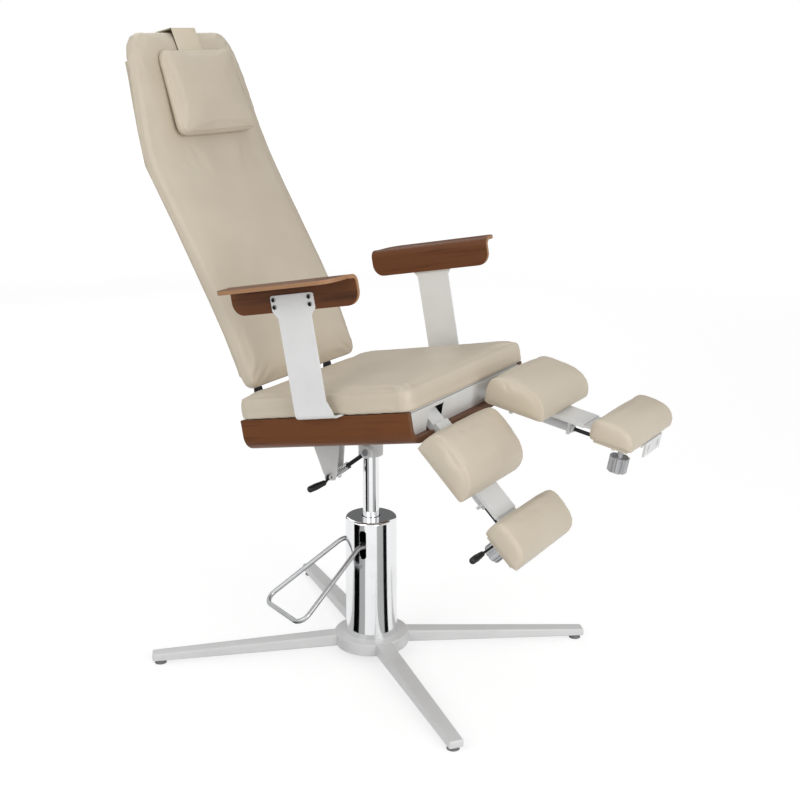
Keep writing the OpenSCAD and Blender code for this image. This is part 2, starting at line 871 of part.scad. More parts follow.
module pump_cover() {
    color("silver")
        difference() {
            rotate_extrude()
                cover_profile();
            at_pedal()
                for (side = [-1, 1])
                    translate([0, side * pedal_root_half, 0])
                        union() {
                            block([pedal_shaft_out / 2, -slot_w / 2, slot_low + slot_w / 2],
                                [cover_d, slot_w / 2, slot_high - slot_w / 2]);
                            for (z = [slot_low + slot_w / 2, slot_high - slot_w / 2])
                                bar_x(slot_w, pedal_shaft_out / 2, cover_d, 0, z);
                        }
        }
}

module pump_cylinder() {
    color("gray")
        difference() {
            union() {
                translate([0, 0, hub_top])
                    cylinder(d = flange_d, h = flange_h);
                translate([0, 0, hub_top])
                    cylinder(d = reservoir_d, h = reservoir_top - hub_top);
            }
            translate([0, 0, hub_top + reservoir_floor])
                cylinder(d = piston_d, h = reservoir_top);
            at_bolts()
                translate([0, 0, hub_top - over])
                    cylinder(d = bolt_d + 2 * rest_fit, h = flange_h + over + rest_fit);
        }
}

module pump_bush() {
    color("peru")
        translate([0, 0, bush_low])
            difference() {
                union() {
                    cylinder(d = piston_d - 2 * rest_fit, h = bush_l);
                    translate([0, 0, bush_l])
                        cylinder(d = piston_d + 2 * bush_lip, h = bush_lip_h);
                }
                translate([0, 0, -over])
                    cylinder(d = rod_d + 2 * run_fit, h = bush_l + bush_lip_h + 2 * over);
            }
}

module pedal_bracket() {
    rim = pedal_shaft_d / 2 + cheek_rim;
    color("gray")
        at_pedal()
            difference() {
                for (side = [-1, 1])
                    translate([0, side * (cheek_in + cheek_t / 2), 0])
                        union() {
                            block([0, -cheek_t / 2, pedal_shaft_z - rim],
                                [pedal_shaft_out, cheek_t / 2, pedal_shaft_z + rim]);
                            bar_y(2 * rim, pedal_shaft_out, -cheek_t / 2, cheek_t / 2, pedal_shaft_z);
                        }
                cylinder(d = reservoir_d, h = cover_top);
                bar_y(pedal_shaft_d + 2 * run_fit, pedal_shaft_out, -cover_d / 2, cover_d / 2, pedal_shaft_z);
            }
}

module pedal_shaft() {
    reach = pedal_root_half + pedal_rod_d / 2;
    color("gray")
        at_pedal()
            bar_y(pedal_shaft_d, pedal_shaft_out, -reach, reach, pedal_shaft_z);
}

module pedal_loop() {
    bend = [pedal_bend_out, pedal_root_half, pedal_shaft_z];
    tip = [pedal_out, pedal_half, pedal_z];
    near = bend + (tip - bend) * pedal_straight_share;
    edge = [pedal_out, pedal_half * pedal_straight_share, pedal_z];
    color("silver")
        at_pedal()
            difference() {
                union() {
                    both_sides()
                        union() {
                            rod(pedal_rod_d, [pedal_shaft_out, pedal_root_half, pedal_shaft_z], bend);
                            translate(bend)
                                sphere(d = pedal_rod_d * knuckle_share);
                            rod(pedal_rod_d, bend, near);
                            translate(near)
                                sphere(d = pedal_rod_d * knuckle_share);
                            rod(pedal_rod_d, near, edge);
                            translate(edge)
                                sphere(d = pedal_rod_d * knuckle_share);
                        }
                    bar_y(pedal_rod_d, pedal_out, -edge.y, edge.y, pedal_z);
                }
                bar_y(pedal_shaft_d, pedal_shaft_out, -cover_d, cover_d, pedal_shaft_z);
            }
}

module piston_rod() {
    color("silver")
        union() {
            translate([0, 0, piston_low])
                cylinder(d = piston_d - 2 * run_fit, h = piston_h);
            translate([0, 0, piston_low])
                cylinder(d = rod_d, h = shoulder_z - piston_low);
            translate([0, 0, shoulder_z])
                cylinder(d = spigot_d, h = spigot_l);
        }
}

module thrust_washer() {
    color("goldenrod")
        translate([0, 0, shoulder_z])
            difference() {
                cylinder(d = rod_d, h = washer_h);
                translate([0, 0, -over])
                    cylinder(d = spigot_d + 2 * run_fit, h = washer_h + 2 * over);
            }
}

module column_head() {
    inner = seat_eye_half + fork_gap;
    color("whitesmoke")
        difference() {
            union() {
                translate([0, 0, head_low])
                    cylinder(d = head_d, h = head_h);
                both_sides()
                    union() {
                        bar_y(2 * eye_r, 0, inner, inner + fork_t, tilt_z);
                        block([-eye_r, inner, head_top - fork_t], [eye_r, inner + fork_t, tilt_z]);
                    }
            }
            translate([0, 0, shoulder_z])
                cylinder(d = spigot_d + 2 * run_fit, h = spigot_l + over);
            bar_y(tilt_pin_d + 2 * run_fit, 0, -head_d, head_d, tilt_z);
            bar_y(strut_pin_d + 2 * rest_fit, strut_top_x, -head_d, -inner, strut_top_z);
        }
}

module strut_pin() {
    inner = seat_eye_half + fork_gap;
    outer = -strut_y + strut_eye_w / 2 + soft_gap;
    color("gray")
        union() {
            bar_y(strut_pin_d, strut_top_x, -outer, -inner, strut_top_z);
            bar_y(strut_pin_d + 2 * ring_lip, strut_top_x, -outer - ring_t, -outer, strut_top_z);
        }
}

module seat_mount() {
    color("gainsboro")
        difference() {
            union() {
                block([mount_back, -mount_half, tray_low - mount_t], [mount_front, mount_half, tray_low]);
                block([pin_x - eye_r, -seat_eye_half, pin_z],
                    [pin_x + eye_r, seat_eye_half, tray_low - mount_t]);
                bar_y(2 * eye_r, pin_x, -seat_eye_half, seat_eye_half, pin_z);
            }
            bar_y(tilt_pin_d + 2 * rest_fit, pin_x, -mount_half, mount_half, pin_z);
        }
}

module tilt_pin() {
    reach = seat_eye_half + fork_gap + fork_t + soft_gap;
    color("silver")
        union() {
            bar_y(tilt_pin_d, 0, -reach, reach, tilt_z);
            both_sides()
                bar_y(tilt_pin_d + 2 * ring_lip, 0, reach, reach + ring_t, tilt_z);
        }
}

// Side view of the tilt bracket's plates
module bracket_side() {
    tip = strut_z - bracket_below;
    polygon([[bracket_x - bracket_top_l / 2, tray_low], [bracket_x + bracket_top_l / 2, tray_low],
        [strut_x + bracket_tip_l / 2, strut_z + bracket_below], [strut_x + bracket_tip_l / 4, tip],
        [strut_x - bracket_tip_l / 4, tip], [strut_x - bracket_tip_l / 2, strut_z + bracket_below]]);
}

module tilt_bracket() {
    outer = bracket_half + bracket_t;
    face = strut_y - outer;
    color("whitesmoke")
        difference() {
            union() {
                plate_y(strut_y - outer, strut_y - bracket_half)
                    bracket_side();
                plate_y(strut_y + bracket_half, strut_y + outer)
                    bracket_side();
                block([bracket_x - bracket_top_l / 2, strut_y - outer, tray_low - bracket_t],
                    [bracket_x + bracket_top_l / 2, strut_y + outer, tray_low]);
                for (x = [strut_x - lever_reach, strut_x + lever_reach - lever_ear_t])
                    union() {
                        block([x, face - lever_eye_d / 2, strut_z - lever_eye_d / 2],
                            [x + lever_ear_t, face, strut_z + lever_eye_d / 2]);
                        bar_x(lever_eye_d, x, x + lever_ear_t, face - lever_eye_d / 2, strut_z);
                    }
            }
            bar_y(strut_pin_d + 2 * rest_fit, strut_x, face, strut_y + outer + over, strut_z);
            bar_x(lever_pin_d + 2 * run_fit, strut_x - tray_half, strut_x + tray_half,
                face - lever_eye_d / 2, strut_z);
        }
}

module bracket_pin() {
    outer = bracket_half + bracket_t;
    color("gray")
        bar_y(strut_pin_d, strut_x, strut_y - outer, strut_y + outer, strut_z);
}

// Puts the children on the strut's line, X towards its upper pin
module at_strut() {
    translate([strut_low_x, strut_y, strut_low_z])
        rotate([0, -strut_turn, 0])
            children();
}

module strut_barrel() {
    step = (barrel_l - barrel_d) / barrel_ribs;
    color("silver")
        at_strut()
            difference() {
                union() {
                    bar_y(barrel_d, 0, -barrel_d / 2, barrel_d / 2, 0);
                    bar_x(barrel_d, 0, barrel_l, 0, 0);
                }
                for (i = [0:barrel_ribs - 1])
                    translate([barrel_d + i * step, 0, 0])
                        rotate([0, 90, 0])
                            difference() {
                                cylinder(d = barrel_d + over, h = step * groove_share);
                                cylinder(d = barrel_d - 2 * rib_depth, h = step);
                            }
                bar_y(strut_pin_d + 2 * run_fit, 0, -barrel_d, barrel_d, 0);
                bar_x(strut_rod_d + 2 * run_fit, strut_pin_d, barrel_l + over, 0, 0);
            }
}

module strut_rod() {
    color("dimgray")
        at_strut()
            difference() {
                bar_x(strut_rod_d, barrel_l - strut_rod_in, strut_l, 0, 0);
                bar_y(strut_eye_d, strut_l, -strut_eye_d, strut_eye_d, 0);
            }
}

module strut_eye() {
    color("whitesmoke")
        at_strut()
            difference() {
                bar_y(strut_eye_d, strut_l, -strut_eye_w / 2, strut_eye_w / 2, 0);
                bar_y(strut_pin_d + 2 * strut_play, strut_l, -strut_eye_w, strut_eye_w, 0);
            }
}

module tilt_lever() {
    color("dimgray")
        union() {
            bar_x(lever_eye_d, strut_x - lever_eye_t / 2, strut_x + lever_eye_t / 2, lever_y, strut_z);
            bar_x(lever_pin_d, strut_x - lever_reach, strut_x + lever_reach, lever_y, strut_z);
            rod(lever_d, lever_from, lever_to);
        }
}

module tilt_grip() {
    color("black")
        difference() {
            grip(tilt_grip_d, lever_to, grip_to);
            rod(lever_d, lever_from, lever_to);
        }
}

// Cross-section of the tray's outside or inside
module tray_section(half, low, r) {
    translate([-half, low + r])
        square([2 * half, tray_top - low - r]);
    translate([r - half, low])
        square([2 * (half - r), tray_top - low]);
    for (y = [r - half, half - r])
        translate([y, low + r])
            circle(r);
}

module seat_tray() {
    color("saddlebrown")
        difference() {
            translate([tray_back, 0, 0])
                rotate([90, 0, 90])
                    linear_extrude(tray_front - tray_back)
                        difference() {
                            tray_section(tray_half, tray_low, tray_round);
                            tray_section(inner_half, floor_z, tray_round - tray_t);
                            translate([-inner_half, tray_top - over])
                                square([2 * inner_half, 2 * over]);
                        }
            both_sides()
                block([tray_front - notch_l, opening_in, tray_low - over],
                    [tray_front + over, opening_out, floor_z + over]);
        }
}

module seat_board() {
    color("burlywood")
        block([tray_back + seat_board_in, -inner_half, board_low],
            [tray_front - seat_board_in, inner_half, board_top]);
}

module seat_cushion() {
    half_x = (cushion_front - cushion_back) / 2;
    color("tan")
        difference() {
            translate([(cushion_front + cushion_back) / 2, 0, tray_top + soft_gap])
                pad(half_x, tray_half + cushion_over, cushion_round, cushion_h, cushion_crown,
                    cushion_tuck, 6, 6);
            both_sides()
                block([post_back - soft_gap, tray_half - post_foot_in - soft_gap, tray_top - over],
                    [post_back + post_w + post_flare + soft_gap, post_out, tray_top + post_t + soft_gap]);
        }
}

module front_apron() {
    top_x = tray_front - apron_in;
    low_x = top_x - apron_lean;
    color("whitesmoke")
        intersection() {
            difference() {
                plate_y(-inner_half, inner_half)
                    polygon([[top_x, apron_top], [low_x, floor_z], [low_x - apron_t, floor_z],
                        [top_x - apron_t, apron_top]]);
                both_sides()
                    block([0, opening_in, tray_low], [tray_front, opening_out, opening_top]);
                block([0, -inner_half, board_low], [tray_front - seat_board_in, inner_half, board_top]);
            }
            translate([tray_back, 0, 0])
                rotate([90, 0, 90])
                    linear_extrude(tray_front - tray_back)
                        tray_section(inner_half, floor_z, tray_round - tray_t);
        }
}

module leg_shaft() {
    color("silver")
        bar_y(shaft_d, knee_x, -shaft_half, shaft_half, knee_z);
}

module shaft_bearings() {
    half = shaft_d / 2 + neck_wall;
    color("gray")
        difference() {
            for (y = [-shaft_half, -half, shaft_half - 2 * half])
                block([knee_x - half, y, floor_z], [knee_x + half, y + 2 * half, knee_z + half]);
            bar_y(shaft_d + 2 * rest_fit, knee_x, -tray_half, tray_half, knee_z);
        }
}

// Side view of a post with its head plate
module post_side() {
    front = post_back + post_w;
    translate([post_back, tray_top + post_bend])
        square([post_w, post_top - tray_top - post_bend]);
    translate([post_back - head_plate_over, head_plate_low])
        square([post_w + 2 * head_plate_over, head_plate_h]);
    polygon([[post_back, tray_top + post_bend], [front + post_flare / 2, tray_top + post_bend],
        [front, tray_top + 3 * post_bend]]);
}

// Plan of a post's foot from its bend inwards
module post_foot() {
    front = post_back + post_w;
    polygon([[post_back, tray_half - post_foot_in], [front + post_flare, tray_half - post_foot_in],
        [front + post_flare, tray_half], [front + post_flare / 2, post_out - post_bend],
        [post_back, post_out - post_bend]]);
}

// One bent post with its screw holes
module post() {
    front = post_back + post_w + post_flare / 2;
    bend_y = post_out - post_bend;
    bend_z = tray_top + post_bend;
    color("whitesmoke")
        difference() {
            union() {
                plate_y(post_out - post_t, post_out)
                    post_side();
                translate([0, 0, tray_top])
                    linear_extrude(post_t)
                        post_foot();
                intersection() {
                    difference() {
                        bar_x(2 * post_bend, post_back, front, bend_y, bend_z);
                        bar_x(2 * (post_bend - post_t), 0, tray_front, bend_y, bend_z);
                    }
                    block([0, bend_y, tray_top], [tray_front, post_out, bend_z]);
                }
            }
            at_screws()
                bar_y(screw_d + 2 * rest_fit, 0, arm_in - over, post_out + over, 0);
        }
}

// Runs the children at the four screws of the left armrest
module at_screws() {
    for (x = [post_back - head_plate_over + screw_in, post_back + post_w + head_plate_over - screw_in])
        for (z = [head_plate_low + screw_in, post_top - screw_in])
            translate([x, 0, z])
                children();
}

module armrest_screws() {
    color("silver")
        both_sides()
            at_screws()
                union() {
                    bar_y(screw_d, 0, arm_in - arm_t / 2, post_out, 0);
                    bar_y(screw_head_d, 0, post_out, post_out + screw_head_h, 0);
                }
}

// One bent-ply armrest: an upright flange, a bend and a flat flange
module armrest() {
    bend_y = arm_in - arm_t + arm_bend;
    bend_z = arm_top - arm_bend;
    color("sienna")
        difference() {
            union() {
                plate_y(arm_in - arm_t, arm_in)
                    intersection() {
                        rounded([arm_back, arm_low], [arm_front, arm_top + arm_round], arm_round);
                        translate([arm_back, arm_low])
                            square([arm_front - arm_back, bend_z - arm_low]);
                    }
                translate([0, 0, arm_top - arm_t])
                    linear_extrude(arm_t)
                        intersection() {
                            rounded([arm_back + arm_setback, arm_in - arm_round],
                                [arm_front - arm_setback, arm_out], arm_round);
                            translate([arm_back, bend_y])
                                square([arm_front - arm_back, arm_out - bend_y]);
                        }
                intersection() {
                    difference() {
                        bar_x(2 * arm_bend, arm_back + arm_setback / 2, arm_front - arm_setback / 2,
                            bend_y, bend_z);
                        bar_x(2 * (arm_bend - arm_t), arm_back, arm_front, bend_y, bend_z);
                    }
                    block([arm_back, bend_y - arm_bend, bend_z], [arm_front, bend_y, arm_top]);
                }
            }
            at_screws()
                bar_y(screw_d + 2 * rest_fit, 0, arm_in - arm_t / 2 - rest_fit, arm_in + over, 0);
        }
}

module back_brackets() {
    foot = tray_back + tray_half / 2;
    rim = pivot_d / 2 + back_bracket_t;
    color("gray")
        both_sides()
            difference() {
                union() {
                    plate_y(pivot_half - back_bracket_t, pivot_half)
                        polygon([[foot, floor_z], [foot, floor_z + rim], [pivot_x, pivot_z + rim],
                            [pivot_x - rim, pivot_z], [pivot_x, pivot_z - rim], [tray_back, floor_z]]);
                    block([tray_back, pivot_half - rim, floor_z],
                        [foot, pivot_half, floor_z + back_bracket_t]);
                }
                bar_y(pivot_d + 2 * rest_fit, pivot_x, 0, tray_half, pivot_z);
                block([cushion_back - over, 0, board_low], [foot + over, tray_half, board_top + rim]);
            }
}

module pivot_tube() {
    color("gray")
        difference() {
            bar_y(pivot_d, pivot_x, -pivot_half, pivot_half, pivot_z);
            bar_y(pivot_d - 2 * neck_wall, pivot_x, -tray_half, tray_half, pivot_z);
        }
}

// Heights of the crease's points between two limits, with the limits
function crease_heights(low, high) = concat([low],
    [for (pair = back_line) if (pair[0] > low && pair[0] < high) pair[0]], [high]);

// Side view between two distances behind the backrest's crease
module back_slice(front, back, low, high) {
    heights = crease_heights(low, high);
    polygon(concat([for (z = heights) [crease_x(z) - front, z]],
        [for (i = [len(heights) - 1:-1:0]) [crease_x(heights[i]) - back, heights[i]]]));
}

module back_arms() {
    back = back_pad_t + back_board_t;
    low = back_low + back_board_in;
    color("gray")
        difference() {
            union() {
                for (y = [-back_arm_y, back_arm_y])
                    union() {
                        plate_y(y - back_arm_t / 2, y + back_arm_t / 2)
                            union() {
                                back_slice(back, back + back_arm_deep, low, back_arm_top);
                                polygon([[crease_x(low) - back, low],
                                    [crease_x(low) - back - back_arm_deep, low],
                                    [pivot_x - pivot_eye_r, pivot_z], [pivot_x + pivot_eye_r, pivot_z]]);
                            }
                        bar_y(2 * pivot_eye_r, pivot_x, y - back_arm_t / 2, y + back_arm_t / 2, pivot_z);
                    }
                plate_y(-back_arm_y, back_arm_y)
                    back_slice(back, back + back_arm_deep, back_arm_top - back_round, back_arm_top);
            }
            bar_y(pivot_d + 2 * run_fit, pivot_x, -tray_half, tray_half, pivot_z);
        }
}

// Outline of the backrest seen from the front, drawn with Y across and X up
module back_outline(inset) {
    low = back_low + inset;
    high = back_high - inset;
    heights = concat([low + back_low_round], [for (pair = back_widths) if (pair[0] > low + back_low_round
        && pair[0] < high - back_round) pair[0]], [high - back_round]);
    polygon(concat([for (z = heights) [z, back_half(z) - inset]],
        [for (turn = [0:15:90]) [high - back_round + back_round * sin(turn),
            back_half(high) - inset - back_round + back_round * cos(turn)]],
        [for (turn = [90:-15:0]) [high - back_round + back_round * sin(turn),
            back_round - back_round * cos(turn) - back_half(high) + inset]],
        [for (i = [len(heights) - 1:-1:0]) [heights[i], inset - back_half(heights[i])]],
        [[low, inset - back_half(low) + back_low_round], [low, back_half(low) - inset - back_low_round]]));
}

module back_board() {
    color("dimgray")
        intersection() {
            plate_y(-tray_half, tray_half)
                back_slice(back_pad_t, back_pad_t + back_board_t, back_low + back_board_in,
                    back_high - back_board_in);
            rotate([0, -90, 0])
                linear_extrude(back_high)
                    back_outline(back_board_in);
        }
}

// Bends a padded form's point onto the backrest
function on_back(p) = let (z = back_mid + p.x)
    [crease_x(z) - back_pad_t + back_gap + p.z, -p.y * back_half(z) / back_max, z];

module back_cushion() {
    half_x = (back_high - back_low) / 2;
    thick = back_pad_t - back_gap;
    ring = outline(half_x, back_max, back_round, back_low_round, 14, 5);
    rows = pad_rows(half_x, back_max, thick, back_crown, back_tuck, back_floor_shares, back_top_shares);
    color("tan")
        skin([for (p = pad_points(ring, rows, thick + back_crown)) on_back(p)], len(ring));
}

// Strap down the front, over the top and down the back of the backrest
module head_strap() {
    back = back_pad_t + back_board_t + soft_gap;
    low = back_high + soft_gap;
    high = low + strap_t;
    heights = concat(crease_heights(strap_low, back_high), [high]);
    color("wheat")
        plate_y(-strap_half, strap_half)
            union() {
                polygon(concat([for (z = heights) [front_x(z) + soft_gap, z]],
                    [for (i = [len(heights) - 1:-1:0]) let (z = heights[i])
                        [front_x(z) + soft_gap + strap_t, z]]));
                back_slice(back, back + strap_t, strap_back_low, high);
                back_slice(-soft_gap - strap_t, back + strap_t, low, high);
            }
}

// Bends a padded form's point onto the front of the strap
function on_strap(p) = let (share = (p.x / pillow_tall + 1) / 2,
    half = pillow_half + (pillow_top_half - pillow_half) * share)
    [p.z, -p.y * half / pillow_half, p.x];

module head_pillow() {
    ring = outline(pillow_tall, pillow_half, pillow_round, pillow_round, 5, 6);
    rows = pad_rows(pillow_tall, pillow_half, pillow_t, pillow_crown, back_tuck);
    place = front_x(pillow_mid) + soft_gap + strap_t + pillow_gap;
    color("tan")
        translate([place, 0, pillow_mid])
            rotate([0, -pillow_lean, 0])
                skin([for (p = pad_points(ring, rows, pillow_t + pillow_crown)) on_strap(p)], len(ring));
}

// One leg arm: hub, neck, carriage and the gas cylinder's two holders
module leg_arm() {
    half = carriage_w / 2;
    color("gainsboro")
        difference() {
            union() {
                bar_y(2 * hub_eye_r, 0, -neck_w / 2, neck_w / 2, 0);
                block([0, -neck_w / 2, 0], [carriage_from, neck_w / 2, hub_eye_r]);
                block([neck_step, -neck_w / 2, 0], [carriage_from, neck_w / 2, neck_h]);
                block([carriage_from, -half, 0], [carriage_to, half, carriage_h]);
                for (x = [gas_from - lug_t, gas_to - 2 * lug_t])
                    block([x, -lug_half, lug_low], [x + lug_t, lug_half, 0]);
            }
            bar_y(shaft_d + 2 * run_fit, 0, -tray_half, tray_half, 0);
            block([hub_eye_r, neck_wall - neck_w / 2, neck_wall],
                [carriage_from - neck_wall, neck_w / 2 - neck_wall, hub_eye_r - neck_wall]);
            block([carriage_from + neck_wall, carriage_wall - half, carriage_wall],
                [carriage_to + over, half - carriage_wall, carriage_h - carriage_wall]);
            bar_x(gas_d + 2 * rest_fit, gas_from, gas_to, 0, -gas_low);
        }
}

// The ply board inside the calf pad or the heel pad
module pad_board(from, to, low) {
    block([from + pad_board_in, pad_board_in - pad_half, low],
        [to - pad_board_in, pad_half - pad_board_in, low + pad_board_t]);
}

// One padded leg support with the pocket for its board
module leg_pad(from, to, low, high, board) {
    color("tan")
        difference() {
            translate([from, 0, low])
                profile_pad(to - from, pad_half, high, pad_tuck);
            block([from + pad_board_in - soft_gap, pad_board_in - pad_half - soft_gap, 0],
                [to - pad_board_in + soft_gap, pad_half - pad_board_in + soft_gap,
                    board + pad_board_t + soft_gap]);
        }
}

module calf_board() {
    color("burlywood")
        pad_board(calf_from, calf_to, carriage_h);
}

module heel_board(pull) {
    color("burlywood")
        pad_board(heel_from + pull, heel_to + pull, slide_high);
}

module calf_pad() {
    leg_pad(calf_from, calf_to, calf_low, calf_h, carriage_h);
}

module heel_pad(pull) {
    leg_pad(heel_from + pull, heel_to + pull, heel_low, heel_h, slide_high);
}

module gas_cylinder() {
    color("lightgray")
        difference() {
            bar_x(gas_d, gas_from, gas_to, 0, -gas_low);
            bar_x(gas_rod_d + 2 * run_fit, gas_from + lug_t, gas_to + over, 0, -gas_low);
        }
}

// Slide plate with its lug, the knob's boss, the gas rod's seat and the pad's board
module slide(pull) {
    half = carriage_w / 2 - carriage_wall - slide_slack;
    lug = heel_from + lug_after + pull;
    end = heel_from + end_after + pull;
    knob = heel_from + knob_after + pull;
    color("silver")
        difference() {
            union() {
                block([slide_from + pull, -half, slide_low], [end, half, slide_high]);
                block([lug, -lug_half, lug_low], [lug + lug_t, release_y + lug_below, slide_low]);
                translate([knob, 0, slide_low - boss_h])
                    cylinder(d = boss_d, h = boss_h);
                bar_x(gas_rod_d, gas_rod_from + pull, lug, 0, -gas_low);
                end_bracket(end);
            }
            translate([knob, 0, slide_low - boss_h - over])
                cylinder(d = stem_d + 2 * run_fit, h = boss_h + over);
            bar_x(lever_pin_d + 2 * run_fit, lug - over, lug + lug_t + over, release_y, -gas_low);
        }
}

// End bracket with its two slots
module end_bracket(from) {
    middle = (end_up - end_down) / 2;
    straight = (end_slot_l - end_slot_w) / 2;
    difference() {
        block([from, end_shift - end_half, -end_down], [from + end_t, end_shift + end_half, end_up]);
        for (y = [end_shift - end_slot_gap / 2, end_shift + end_slot_gap / 2])
            union() {
                block([from - over, y - end_slot_w / 2, middle - straight],
                    [from + end_t + over, y + end_slot_w / 2, middle + straight]);
                for (z = [middle - straight, middle + straight])
                    bar_x(end_slot_w, from - over, from + end_t + over, y, z);
            }
    }
}

// Point on the release lever at a distance from the leg's middle
function release_at(x, y) = [x, y, -gas_low - release_fall * (y - release_y) / (release_grip_to - release_y)];

// Release lever: its pivot disc, pivot pin and rod
module release(pull) {
    lug = heel_from + lug_after + pull;
    disc = lug + lug_t + soft_gap;
    mid = disc + release_eye_t / 2;
    color("dimgray")
        union() {
            bar_x(release_eye_d, disc, disc + release_eye_t, release_y, -gas_low);
            bar_x(lever_pin_d, lug, disc, release_y, -gas_low);
            rod(release_d, release_at(mid, release_y), release_at(mid, release_grip_from));
        }
}

module release_grip(pull) {
    mid = heel_from + lug_after + pull + lug_t + soft_gap + release_eye_t / 2;
    color("black")
        grip(release_grip_d, release_at(mid, release_grip_from), release_at(mid, release_grip_to));
}

module clamp_knob(pull) {
    color("slategray")
        translate([heel_from + knob_after + pull, 0, -knob_low])
            union() {
                cylinder(d = stem_d, h = knob_low);
                translate([0, 0, -knob_h])
                    difference() {
                        cylinder(d = knob_d, h = knob_h);
                        for (i = [0:knob_flutes - 1])
                            rotate([0, 0, i * 360 / knob_flutes])
                                translate([knob_d / 2 + flute_d / 4, 0, -over])
                                    cylinder(d = flute_d, h = knob_h + 2 * over);
                    }
            }
}

star_base();
levelling_feet();
base_bolts();
pump_cover();
pump_cylinder();
pump_bush();
pedal_bracket();
pedal_shaft();
pedal_loop();
piston_rod();
thrust_washer();
column_head();
strut_pin();
at_seat() seat_mount();
tilt_pin();
at_seat() tilt_bracket();
at_seat() bracket_pin();
strut_barrel();
strut_rod();
strut_eye();
at_seat() tilt_lever();
at_seat() tilt_grip();
at_seat() seat_tray();
at_seat() seat_board();
at_seat() seat_cushion();
at_seat() front_apron();
at_seat() leg_shaft();
at_seat() shaft_bearings();
at_seat() on_side(false) post();  // post_right
at_seat() on_side(true) post();  // post_left
at_seat() on_side(false) armrest();  // armrest_right
at_seat() on_side(true) armrest();  // armrest_left
at_seat() armrest_screws();
at_seat() back_brackets();
at_seat() pivot_tube();
at_seat() back_arms();
at_seat() back_board();
at_seat() back_cushion();
at_seat() head_strap();
at_seat() head_pillow();
at_leg(drop_right, false) leg_arm();  // leg_arm_right
at_leg(drop_left, true) leg_arm();  // leg_arm_left
at_leg(drop_right, false) calf_board();  // calf_board_right
at_leg(drop_left, true) calf_board();  // calf_board_left
at_leg(drop_right, false) calf_pad();  // calf_pad_right
at_leg(drop_left, true) calf_pad();  // calf_pad_left
at_leg(drop_right, false) gas_cylinder();  // gas_cylinder_right
at_leg(drop_left, true) gas_cylinder();  // gas_cylinder_left
at_leg(drop_right, false) slide(0);  // slide_right
at_leg(drop_left, true) slide(pull_left);  // slide_left
at_leg(drop_right, false) heel_board(0);  // heel_board_right
at_leg(drop_left, true) heel_board(pull_left);  // heel_board_left
at_leg(drop_right, false) heel_pad(0);  // heel_pad_right
at_leg(drop_left, true) heel_pad(pull_left);  // heel_pad_left
at_leg(drop_right, false) release(0);  // release_right
at_leg(drop_left, true) release(pull_left);  // release_left
at_leg(drop_right, false) release_grip(0);  // release_grip_right
at_leg(drop_left, true) release_grip(pull_left);  // release_grip_left
at_leg(drop_right, false) clamp_knob(0);  // clamp_knob_right
at_leg(drop_left, true) clamp_knob(pull_left);  // clamp_knob_left
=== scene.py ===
"""Podiatry chair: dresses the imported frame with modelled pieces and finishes.

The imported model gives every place. Each class below is one sub-assembly of the
chair, measured in the frame in which it was designed: the floor's, the tilted
seat's, a leg rest's, the strut's or the pedal's. All lengths are in metres.
"""

import json
import logging
import math
from abc import ABC, abstractmethod
from contextlib import contextmanager
from dataclasses import dataclass, field
from enum import Enum
from typing import Any, Callable, Iterator, Sequence

import bmesh
import bpy
from mathutils import Euler, Matrix, Vector

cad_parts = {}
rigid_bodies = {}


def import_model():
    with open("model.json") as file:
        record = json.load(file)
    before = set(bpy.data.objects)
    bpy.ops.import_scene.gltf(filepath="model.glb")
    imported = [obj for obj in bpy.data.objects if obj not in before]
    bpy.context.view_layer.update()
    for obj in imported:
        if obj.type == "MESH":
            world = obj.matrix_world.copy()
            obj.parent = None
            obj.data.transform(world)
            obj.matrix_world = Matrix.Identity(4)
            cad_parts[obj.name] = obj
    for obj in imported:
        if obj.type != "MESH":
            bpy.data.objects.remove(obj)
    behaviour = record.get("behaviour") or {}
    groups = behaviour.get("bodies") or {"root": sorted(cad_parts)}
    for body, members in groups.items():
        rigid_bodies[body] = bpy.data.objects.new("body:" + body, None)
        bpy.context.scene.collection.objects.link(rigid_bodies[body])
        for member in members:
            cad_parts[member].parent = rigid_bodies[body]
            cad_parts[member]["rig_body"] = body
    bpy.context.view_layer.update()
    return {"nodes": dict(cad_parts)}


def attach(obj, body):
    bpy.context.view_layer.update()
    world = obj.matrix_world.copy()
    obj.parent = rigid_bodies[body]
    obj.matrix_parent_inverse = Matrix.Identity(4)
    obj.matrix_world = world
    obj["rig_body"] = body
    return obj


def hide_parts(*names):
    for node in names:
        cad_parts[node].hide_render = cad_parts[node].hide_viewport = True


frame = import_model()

log = logging.getLogger("podiatry_chair")

Triple = tuple[float, float, float]
Colour = tuple[float, float, float, float]

MM = 0.001
NEAR = MM
FACING = 0.9
ACROSS = 0.7
FLAT = 0.999
LEVEL = Euler((0, 0, 0))
UPRIGHT = Euler((math.radians(90), 0, 0))
MERGE_ANGLE = math.radians(1.0)
SMOOTH_ANGLE = math.radians(32)
BEVEL_ANGLE = math.radians(30)
SPIN_SENSE = -1


def linear(red: int, green: int, blue: int) -> Colour:
    """Turns a screen colour from 0 to 255 into a shader colour."""

    def channel(value: int) -> float:
        """One channel of the colour, without the screen's curve."""
        share = value / 255
        return share / 12.92 if share <= 0.04045 else ((share + 0.055) / 1.055) ** 2.4

    return channel(red), channel(green), channel(blue), 1.0


class Side(Enum):
    """The two sides of the chair, named as the sitter sees them."""

    RIGHT = "right"
    LEFT = "left"

    @property
    def sign(self) -> int:
        """Sign of Y on this side."""
        return 1 if self is Side.LEFT else -1


class Part(Enum):
    """The kinds of mesh element that can be picked in edit mode."""

    FACE = "faces"
    EDGE = "edges"
    VERT = "verts"


